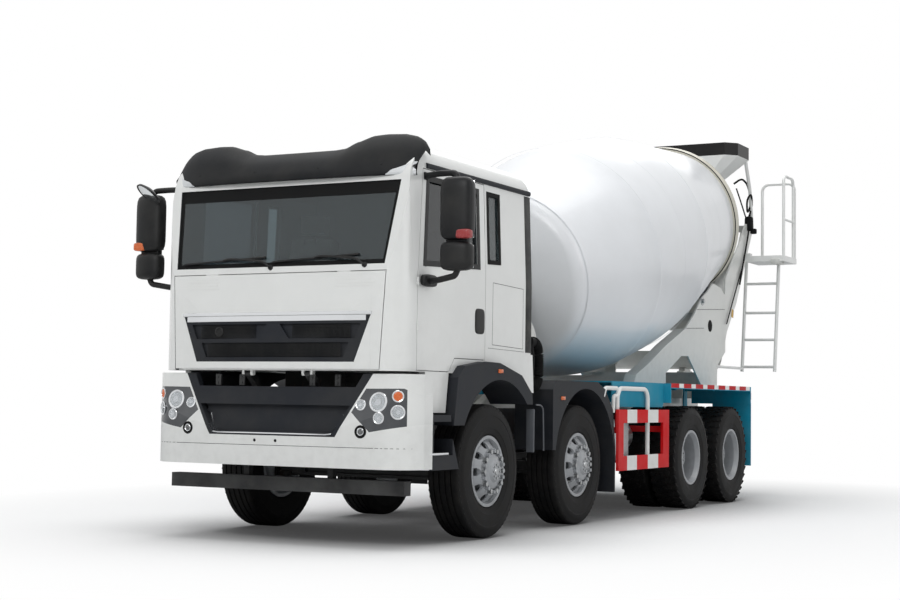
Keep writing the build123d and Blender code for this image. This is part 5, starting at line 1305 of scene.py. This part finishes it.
@dataclass
class MixerTop:
    """Drum seams, gearbox flange bolts, ring edges, and the fittings of the pedestal and the platform."""

    seams: tuple = (             # each seam's place along the drum's axis, and its radius
        (-4610, 905), (-3464, 1244), (-2734, 1244), (-2004, 1244), (-1032, 1081), (-60, 918), (300, 737))

    def build(self) -> None:
        """Makes the mixer's pieces."""
        centre, axis = RING_CENTRE, DRUM_AXIS
        seams = bmesh.new()
        for s, r in self.seams:
            turned(seams, ((-5, r - 1.5), (-3, r + 1.2), (0, r + 2.0), (3, r + 1.2), (5, r - 1.5)),
                   centre + axis * (s / 1000), axis, 128)
        turned(seams, ((455, 648), (455, 662), (474, 656), (474, 642)), centre, axis, 96)
        finish_piece("drum_weld_seams", seams, Coat.DRUM_WHITE, "drum")
        edges = bmesh.new()
        turned(edges, ((-54.5, 940), (-56.6, 941), (-56.6, 951), (-54.5, 953)), centre, axis, 128)
        turned(edges, ((54, 905), (54, 951), (66, 952), (68, 949), (68, 905)), centre, axis, 128)
        finish_piece("ring_edges", edges, Coat.SEAL, "drum")
        bolts = bmesh.new()
        join(bolts, RING.mesh(16, (0.03, 0.03, 0.02), 0.196), facing(centre + axis * -4.8505, -axis))
        join(bolts, RING.mesh(12, (0.024, 0.024, 0.016), 0.150), facing(centre + axis * -5.068, -axis))
        finish_piece("gearbox_bolts", bolts, Coat.ZINC, "chassis")
        self.pedestal()
        self.platform()

    def pedestal(self) -> None:
        """Pivot bolts, reflectors, joint lines, and a dark disc for the rim of the lightening hole and the
        painted shade inside it.
        """
        bolts, lens, lines = bmesh.new(), bmesh.new(), bmesh.new()
        for out in (1, -1):
            side = Vector((out, 0, 0))
            spot = side_skin("rear_pedestal", out, 6427, 2352)[0]
            turned(bolts, ((-2, 0), (-2, 42), (4, 42), (4, 30), (26, 28), (26, 0)), spot, side, 6)
            turned(bolts, ((-2, 0), (-2, 55), (5, 53), (5, 0)), spot, side, 30)
            spot = side_skin("rear_pedestal", out, 7565, 2262)[0]
            block(lens, (spot.x * 1000 - 3 * out, spot.x * 1000 + 6 * out), (7530, 7600), (2215, 2315), 3,
                  Matrix.Rotation(math.radians(-14), 4, "X"))
            # painted shade: the dark disc covers the rim and fills the lightening hole, standing for the
            # shade inside it
            face = side_skin("rear_pedestal", out, 6600, 1900)[0]
            turned(lines, ((-1, 0), (-1, 72), (4, 71), (6, 66), (6, 0)),
                   Vector((face.x, at(0, 6709, 0).y, 2.068)), side, 40)
            for ya, za, yb, zb in ((5470, 1980, 6480, 2030), (6230, 2240, 7260, 2300)):
                for k in range(20):
                    y, z = ya + (yb - ya) * (k + 0.5) / 20, za + (zb - za) * (k + 0.5) / 20
                    try:
                        hit = skin("rear_pedestal", at(out * 900, y, z), -side)[0]
                    except ValueError:
                        continue
                    if abs(hit.x - face.x) < 0.004:
                        half = abs(yb - ya) / 40 + 0.5
                        block(lines, (hit.x * 1000 - 1.2, hit.x * 1000 + 1.2), (y - half, y + half),
                              (z - 2.4, z + 2.4))
        finish_piece("pedestal_bolts", bolts, Coat.ZINC, "chassis")
        finish_piece("pedestal_reflectors", lens, Coat.LENS_YELLOW, "chassis")
        finish_piece("pedestal_joint_lines_and_painted_hole_shade", lines, Coat.SEAL, "chassis")

    def platform(self) -> None:
        """Tread ridges on the platform, its bracket with two bolts, and the pipes down the post."""
        tread = bmesh.new()
        join(tread, ROW.mesh(19, (0.40, 0.007, 0.005), step=(0, 0.028, 0), sides=2),
             Matrix.Translation(at(1010, 8110, 3032)))
        join(tread, ROW.mesh(19, (0.007, 0.50, 0.005), step=(0.022, 0, 0), sides=2),
             Matrix.Translation(at(812, 8370, 3031)))
        finish_piece("platform_tread", tread, Coat.CHUTE_GREY, "chassis")
        bracket, pipes = bmesh.new(), bmesh.new()
        block(bracket, (1080, 1190), (8060, 8300), (2925, 2988), 6)
        for y in (8100, 8260):
            turned(bracket, ((0, 0), (0, 14), (9, 13), (9, 0)), at(1190, y, 2955), Vector((1, 0, 0)), 6)
        for k in range(2):
            pipe(pipes, path(1, (762, 7990 - 16 * k, 2990), (756, 7500 - 16 * k, 2370),
                             (756, 7300 - 16 * k, 2120)), 0.005, 0.09, 8)
        finish_piece("platform_bracket", bracket, Coat.CHUTE_GREY, "chassis")
        finish_piece("pressure_pipes", pipes, Coat.SEAL, "chassis")


@dataclass
class ChassisFittings:
    """Rail bolts, wing rails, tape on the rear wings, tail lamps, tank straps and caps."""

    rail: int = 431              # the bolted face of a frame rail, from the middle
    wing: int = 1240             # the outer face of a rear wing

    def build(self) -> None:
        """Makes the chassis's pieces."""
        bolts = bmesh.new()
        for out in (1, -1):
            turn = (0, math.pi / 2, 0)
            for z, first, count in ((1010, 2760, 9), (850, 2760, 9), (1010, 3900, 14), (850, -600, 6)):
                join(bolts, ROW.mesh(count, (0.026, 0.026, 0.014), step=(0, 0.12, 0), turn=turn),
                     Matrix.Translation(at(out * self.rail, first, z)))
        finish_piece("rail_bolts", bolts, Coat.ZINC, "chassis")
        rails = bmesh.new()
        for out in (1, -1):
            pipe(rails, path(out, (1198, 2625, 1265), (1198, 2340, 1265), (1198, 2290, 1180)), 0.021, 0.05,
                 14)
            pipe(rails, path(out, (1198, 2632, 1195), (1198, 2560, 1195), (1198, 2546, 1030)), 0.018, 0.05,
                 14)
        finish_piece("wing_rails", rails, Coat.CAB_WHITE, "chassis")
        white, red, amber, tape = bmesh.new(), bmesh.new(), bmesh.new(), bmesh.new()
        for out in (1, -1):
            face = out * self.wing
            block(white, (face, face + out * 1.2), (4040, 6700), (1291, 1337))
            join(tape, ROW.mesh(7, (0.0026, 0.24, 0.0462), step=(0, 0.38, 0), sides=2),
                 Matrix.Translation(at(face, 4150, 1314)))
            block(red, (out * 900, out * 1160), (6764, 6800), (1180, 1270), 8)
            block(amber, (out * 1162, out * 1230), (6764, 6800), (1180, 1270), 8)
        finish_piece("white_tape", white, Coat.CAB_WHITE, "chassis")
        finish_piece("red_tape", tape, Coat.TAPE_RED, "chassis")
        finish_piece("tail_lamps", red, Coat.LENS_RED, "chassis")
        finish_piece("rear_turn_lamps", amber, Coat.LENS_AMBER, "chassis")
        straps, caps = bmesh.new(), bmesh.new()
        for y in (2890, 3610):
            pipe(straps, path(1, (-560, y, 1044), (-1134, y, 1044), (-1134, y, 516), (-560, y, 516)),
                 0.006, 0.06, 8)
        for x in (-500, 0, 500):
            turned(straps, ((-16, 256), (-16, 258), (16, 258), (16, 256)), at(x, 1440, 1640),
                   Vector((1, 0, 0)), 48)
        turned(caps, ((0, 0), (0, 45), (20, 45), (26, 38), (26, 0)), at(-900, 3500, 1040),
               Vector((0, 0, 1)), 28)
        turned(caps, ((0, 0), (0, 60), (28, 60), (36, 50), (36, 0)), at(350, 1440, 1890),
               Vector((0, 0, 1)), 28)
        finish_piece("tank_straps", straps, Coat.STEEL, "chassis")
        finish_piece("filler_caps", caps, Coat.BLACK_PLASTIC, "chassis")


# ------------------------------------------------------------------ sculpted and larger pieces
def spline(points: Sequence[tuple], count: int) -> list[Vector]:
    """Points along a smooth curve through corners of any dimension, count per run."""
    given = [Vector(p) for p in points]
    chain = [given[0] * 2 - given[1]] + given + [given[-1] * 2 - given[-2]]
    route = []
    for a, b, c, d in zip(chain, chain[1:], chain[2:], chain[3:]):
        for i in range(count):
            t = i / count
            route.append(0.5 * ((2 * b) + (c - a) * t + (2 * a - 5 * b + 4 * c - d) * t * t
                                + (3 * b - a - 3 * c + d) * t ** 3))
    route.append(given[-1])
    return route


def lofted(form: Form, rows: Sequence[Sequence[Vector]]) -> None:
    """Adds a skin through rows of points, capped at both ends.

    Args:
        form: the form that it joins.
        rows: sections with equal point counts, in order.
    """
    made = bmesh.new()
    tube(made, [[made.verts.new(p) for p in row] for row in rows])
    bmesh.ops.remove_doubles(made, verts=made.verts, dist=1e-6)
    bmesh.ops.recalc_face_normals(made, faces=made.faces)
    add(form, made)


@dataclass
class SunVisor:
    """The moulded visor over the windscreen: a low middle between two raised wings, each with a lamp."""

    half: float = 1138.0
    crest_line: tuple = ((0, 3092), (330, 3093), (420, 3100), (560, 3148), (680, 3186), (800, 3192),
                         (960, 3184), (1060, 3160), (1115, 3120), (1138, 3070))

    def crest(self, x: float) -> float:
        """The height of the visor's top edge at a distance from the middle."""
        x = min(abs(x), self.half)
        for (xa, za), (xb, zb) in zip(self.crest_line, self.crest_line[1:]):
            if x <= xb:
                t = (x - xa) / (xb - xa)
                t = t * t * (3 - 2 * t) if xa in (330, 420) else t
                return za + (zb - za) * t
        return self.crest_line[-1][1]

    def front(self, x: float) -> float:
        """The y of the visor's lower front edge at a distance from the middle."""
        share = abs(x) / self.half
        return -1370 + 22 * share ** 2 + 92 * share ** 6

    def outer(self, x: float) -> list[Vector]:
        """The outer face at x, from the lower edge to behind the top edge."""
        share = abs(x) / self.half
        front = self.front(x)
        top = self.crest(x)
        lean = -1112 + 30 * share ** 8
        corners = ((front + 10, 2834), (front, 2850), (front + 12, 2905),
                   (front + (lean - front) * 0.32, 2905 + (top - 2905) * 0.52),
                   (front + (lean - front) * 0.72, 2905 + (top - 2905) * 0.90), (lean, top),
                   (lean + 34, top - 9))
        return [at(x, v.x, v.y) for v in spline(corners, 5)]

    def build(self) -> None:
        """Makes the visor and its end lamps."""
        form, lamps = bmesh.new(), bmesh.new()
        rows = []
        for i in range(77):
            x = self.half * (2 * i / 76 - 1)
            inner = ((-1040, min(self.crest(x) - 60, 3075)), (-1120, 3040), (-1270, 2905),
                     (min(self.front(x) + 50, -1252), 2845))
            rows.append(self.outer(x) + [at(x, y, z) for y, z in inner])
        lofted(form, rows)
        for out in (1, -1):
            for x in (300, 860):
                spot = self.outer(out * x)[11]
                turned(form, ((-2, 0), (-2, 9), (2.5, 8), (3, 0)), spot, Vector((0, -1, 0.5)), 12)
            patch = []
            for i in range(13):
                x = out * (905 + 228 * i / 12)
                skin_line = self.outer(x)
                low, high = 1.2, 7.0 + 5.0 * i / 12
                front_row, back_row = [], []
                for k in range(8):
                    t = low + (high - low) * k / 7 * min(1.0, 0.25 + i / 3)
                    a, b = skin_line[int(t)], skin_line[int(t) + 1]
                    spot = a.lerp(b, t - int(t))
                    lift = Vector((0.15 * out, -0.9, 0.35)).normalized()
                    front_row.append(spot + lift * 0.007)
                    back_row.append(spot - lift * 0.004)
                patch.append(front_row + list(reversed(back_row)))
            lofted(lamps, patch)
        finish_piece("sun_visor", form, Coat.VISOR_PLASTIC, "cab", ("roof_visor",), 50)
        finish_piece("visor_lamps", lamps, Coat.LENS_WHITE, "cab", angle=40)


@dataclass
class DrumSkin:
    """The drum's turned shell with rolled transitions between its cones, drawn as one smooth sheet."""

    profile: tuple = ((-4800, 240), (-4700, 820), (-4610, 905), (-3464, 1244), (-2004, 1244), (-60, 918),
                      (60, 895), (470, 640))
    bends: tuple = (60, 60, 520, 520, 50, 50)
    wall: float = 10.0

    def build(self) -> None:
        """Makes the skin in place of the CAD shell."""
        given = [Vector(p) for p in self.profile]
        line = [given[0]]
        for before, corner, after, reach in zip(given, given[1:], given[2:], self.bends):
            line += bend(before, corner, after, reach, 14 if reach > 200 else 4, 0.47)
        line.append(given[-1])
        outside = [(p.x, p.y) for p in line]
        inside = [(s, r - self.wall) for s, r in reversed(outside[8:])]
        inside += [(-4690, 808), (-4790, 0), (-4800, 0)]
        form = bmesh.new()
        turned(form, outside + inside, RING_CENTRE, DRUM_AXIS, 160)
        finish_piece("drum_skin", form, Coat.DRUM_WHITE, "drum", ("drum_shell",), 30)


def side_skin(name: str, out: float, y: float, z: float) -> tuple[Vector, Vector]:
    """The outer side surface of a node at a millimetre y and z, on the left where out is 1."""
    return skin(name, at(out * 2000, y, z), Vector((-out, 0, 0)))


def side_strip(form: Form, name: str, out: float, path: Sequence[tuple], wide: float, thick: float,
               steps: int = 6, shut: bool = False) -> None:
    """Lays a strip on the side surface of a node.

    Args:
        form: the form that it joins.
        name: the node it lies on.
        out: 1 for the left side, -1 for the right.
        path: (y, z) corners of its middle line in millimetres.
        wide: its width in millimetres.
        thick: how far it stands out.
        steps: pieces along each run.
        shut: whether it runs back to its first corner.
    """
    runs = list(path) + ([path[0]] if shut else [])
    for (ya, za), (yb, zb) in zip(runs, runs[1:]):
        along = Vector((yb - ya, zb - za)).normalized()
        across = Vector((-along.y, along.x)) * wide / 2
        rows = []
        for i in range(steps + 1):
            y, z = ya + (yb - ya) * i / steps, za + (zb - za) * i / steps
            if i in (0, steps):
                y, z = y + along.x * wide / 2 * (1 if i else -1), z + along.y * wide / 2 * (1 if i else -1)
            try:
                base = side_skin(name, out, y, z)[0]
            except ValueError:
                continue
            rows.append([Vector((base.x + out * h / 1000, 0, 0)) + at(0, y + s * across.x, z + s * across.y)
                         for s, h in ((1, thick), (-1, thick), (-1, -1.5), (1, -1.5))])
        if len(rows) > 1:
            lofted(form, rows)


def pod(form: Form, x: tuple, y: tuple, z: tuple, bulge: float, power: float,
        turn: Matrix = Matrix()) -> None:
    """Adds a closed rounded housing that fills a box of millimetre values.

    Args:
        form: the form that it joins.
        x: left values.
        y: values behind the first axle.
        z: heights.
        bulge: how far the front swells out, as a share of its depth.
        power: how square the section is.
        turn: a rotation about the housing's middle.
    """
    low, high = at(x[0], y[0], z[0]), at(x[1], y[1], z[1])
    middle, half = (low + high) / 2, (high - low) / 2
    rows = []
    for i in range(15):
        w = -math.cos(math.pi * i / 14)
        size = max(1 - abs(w) ** (power * 1.6), 0.0) ** (1 / power) if 0 < i < 14 else 0.32
        row = []
        for k in range(32):
            a = 2 * math.pi * k / 32
            c, s = math.cos(a), math.sin(a)
            u = math.copysign(abs(c) ** (2 / power), c) * size
            v = math.copysign(abs(s) ** (2 / power), s) * size
            if v < 0:
                v *= 1 + bulge * (1 - u * u)
            spot = Vector((u * half.x, v * half.y, w * half.z))
            row.append(middle + turn @ spot)
        rows.append(row)
    lofted(form, rows)


@dataclass
class Mirrors:
    """Two mirror sets: moulded housings on arms, turn lamps, and the round look-down mirror on the right."""

    housing: int = 1458          # how far out the housings' middles are

    def build(self) -> None:
        """Makes each side's set."""
        for side, out in SIDES:
            x = out * self.housing
            form, lamp, glass = bmesh.new(), bmesh.new(), bmesh.new()
            lean = Matrix.Rotation(out * 0.06, 4, "Z")
            pod(form, (x - 132, x + 132), (-1246, -1120), (2330, 2812), 0.25, 4.4, lean)
            pod(form, (x - 130, x + 130), (-1246, -1120), (2100, 2322), 0.25, 3.6, lean)
            block(form, (x - 90, x + 90), (-1200, -1140), (2300, 2352), 8)
            pipe(form, path(out, (1100, -1068, 2850), (1260, -1130, 2855), (1440, -1178, 2845),
                            (1462, -1182, 2760)), 0.024, 0.09, 12)
            pipe(form, path(out, (1462, -1180, 2110), (1440, -1180, 2062), (1250, -1150, 2030),
                            (1150, -1120, 2028)), 0.024, 0.07, 12)
            pod(form, (out * 1176 - 36, out * 1176 + 36), (-1206, -1005), (1990, 2084), 0.0, 3.0)
            block(form, (out * 1112 - 17, out * 1112 + 17), (-1098, -1034), (2822, 2880), 8)
            pod(lamp, (out * 1532 - 62, out * 1532 + 62), (-1262, -1170), (2338, 2410), 0.0, 3.4)
            if out < 0:
                base = at(-1390, -1318, 2800)
                axis = Vector((-0.35, -0.55, -0.75))
                turned(form, ((-40, 0), (-36, 60), (-10, 112), (6, 118), (8, 108), (2, 104), (2, 0)), base,
                       axis, 40)
                turned(glass, ((2, 0), (2, 103), (3.5, 103), (7, 55), (8, 0)), base, axis, 40)
                pipe(form, path(1, (-1450, -1182, 2800), (-1430, -1240, 2815), (-1392, -1290, 2818)),
                     0.018, 0.05, 10)
            for low, high in ((2352, 2790), (2124, 2298)):
                block(glass, (out * 1368, out * 1562), (-1121, -1115), (low, high), 2, lean)
            finish_piece(f"mirror_set_{side}", form, Coat.BLACK_PLASTIC, f"{side}_door",
                         (f"mirrors_{side}",), 40)
            finish_piece(f"mirror_turn_lamp_{side}", lamp,
                         Coat.LENS_RED if out > 0 else Coat.LENS_AMBER, f"{side}_door",
                         angle=50)
            finish_piece(f"mirror_glass_{side}", glass, Coat.MIRROR, f"{side}_door")


@dataclass
class CabTrim:
    """Window seals, drip rails, panel joints, door handles, door creases and the ribbed air hose."""

    def build(self) -> None:
        """Makes the trim on both sides."""
        rails, joints, hatch = bmesh.new(), bmesh.new(), bmesh.new()
        section = ((-3, 22), (14, 17), (19, 0), (14, -19), (-3, -22))
        for side, out in SIDES:
            rows = []
            for i in range(21):
                spot = side_skin("cab_roof", out, -1060 + 1855 * i / 20, 2936)[0]
                rows.append([spot + Vector((out * h / 1000, 0, v / 1000)) for h, v in section])
            lofted(rails, rows)
            side_strip(joints, "cab_shell", out, ((55, 1590), (60, 2105), (640, 2090), (640, 1575)), 4,
                       0.4, 6, True)
            side_strip(joints, "cab_shell", out, ((-20, 1560), (800, 1548)), 3, 0.4, 6)
            seal = bmesh.new()
            side_strip(seal, f"door_{side}", out,
                       ((-1110, 2172), (-1034, 2838), (-196, 2838), (-196, 2216)), 44, 4.0, 6, True)
            pod(seal, (out * 1136 - 13, out * 1136 + 13), (-262, -92), (1668, 1876), 0.0, 4.0)
            finish_piece(f"door_seal_and_handle_{side}", seal,
                         Coat.BLACK_PLASTIC, f"{side}_door")
            side_strip(hatch, "cab_shell", out, ((-20, 2270), (-20, 2840), (190, 2840), (190, 2280)), 36,
                       4.0, 5, True)
        for side, out in SIDES:
            crease = bmesh.new()
            side_strip(crease, f"door_{side}", out, ((-1160, 1668), (-330, 1765)), 7, 1.2, 12)
            finish_piece(f"door_crease_{side}", crease, Coat.CAB_WHITE, f"{side}_door")
        finish_piece("drip_rails", rails, Coat.GREY_PLASTIC, "cab")
        finish_piece("panel_joints", joints, Coat.SEAL, "cab")
        finish_piece("rear_window_seals", hatch, Coat.SEAL, "cab")
        hose = bmesh.new()
        route = rounded(path(1, (1085, 862, 1650), (1085, 1040, 1640), (1085, 1090, 1450),
                             (1085, 1040, 1260), (1060, 880, 1235)), 0.16, 12)
        for a, b in zip(route, route[1:]):
            if (b - a).length > 1e-4:
                turned(hose, ((-3, 0), (-3, 44), (0, 52), (3, 52), (6, 44), (12, 44), (12, 0)), a, b - a,
                       24)
        pipe(hose, route, 0.044, 0.0, 20)
        pipe(hose, path(1, (1085, 900, 1620), (1090, 925, 1500), (1085, 905, 1240)), 0.03, 0.1, 14)
        finish_piece("air_hose", hose, Coat.SEAL, "chassis")


@dataclass
class RearHoses:
    """Water hoses and their valve by the hopper."""

    def build(self) -> None:
        """Makes the hoses."""
        form = bmesh.new()
        pod(form, (700, 800), (8150, 8250), (3370, 3560), 0.0, 4)
        pod(form, (770, 850), (8175, 8235), (3330, 3400), 0.0, 4)
        pipe(form, path(1, (750, 8195, 3550), (770, 8275, 3700), (790, 8175, 3860), (770, 8045, 3760),
                        (760, 8095, 3600), (750, 8205, 3640), (748, 8305, 3790), (720, 8225, 3990),
                        (700, 8045, 4040), (640, 7925, 3960)), 0.013, 0.09, 10)
        pipe(form, path(1, (760, 8165, 3380), (757, 8065, 3150), (757, 7925, 2900), (757, 7805, 2650)),
             0.011, 0.1, 10)
        pipe(form, path(1, (720, 8165, 3540), (690, 8065, 3720), (660, 7955, 3900)), 0.009, 0.1, 10)
        finish_piece("rear_hoses", form, Coat.SEAL, "chassis")


ASSEMBLIES: tuple = (Wheels, SunVisor, DrumSkin, Mirrors, CabTrim, CabFront, CabSides, CabInside, MixerTop,
                     ChassisFittings, RearHoses)


def main() -> None:
    """Builds the stage, the finishes and every sub-assembly."""
    Studio().build()
    Studio().camera()
    dress_nodes()
    for assembly in ASSEMBLIES:
        assembly().build()


if __name__ == "__main__":
    main()
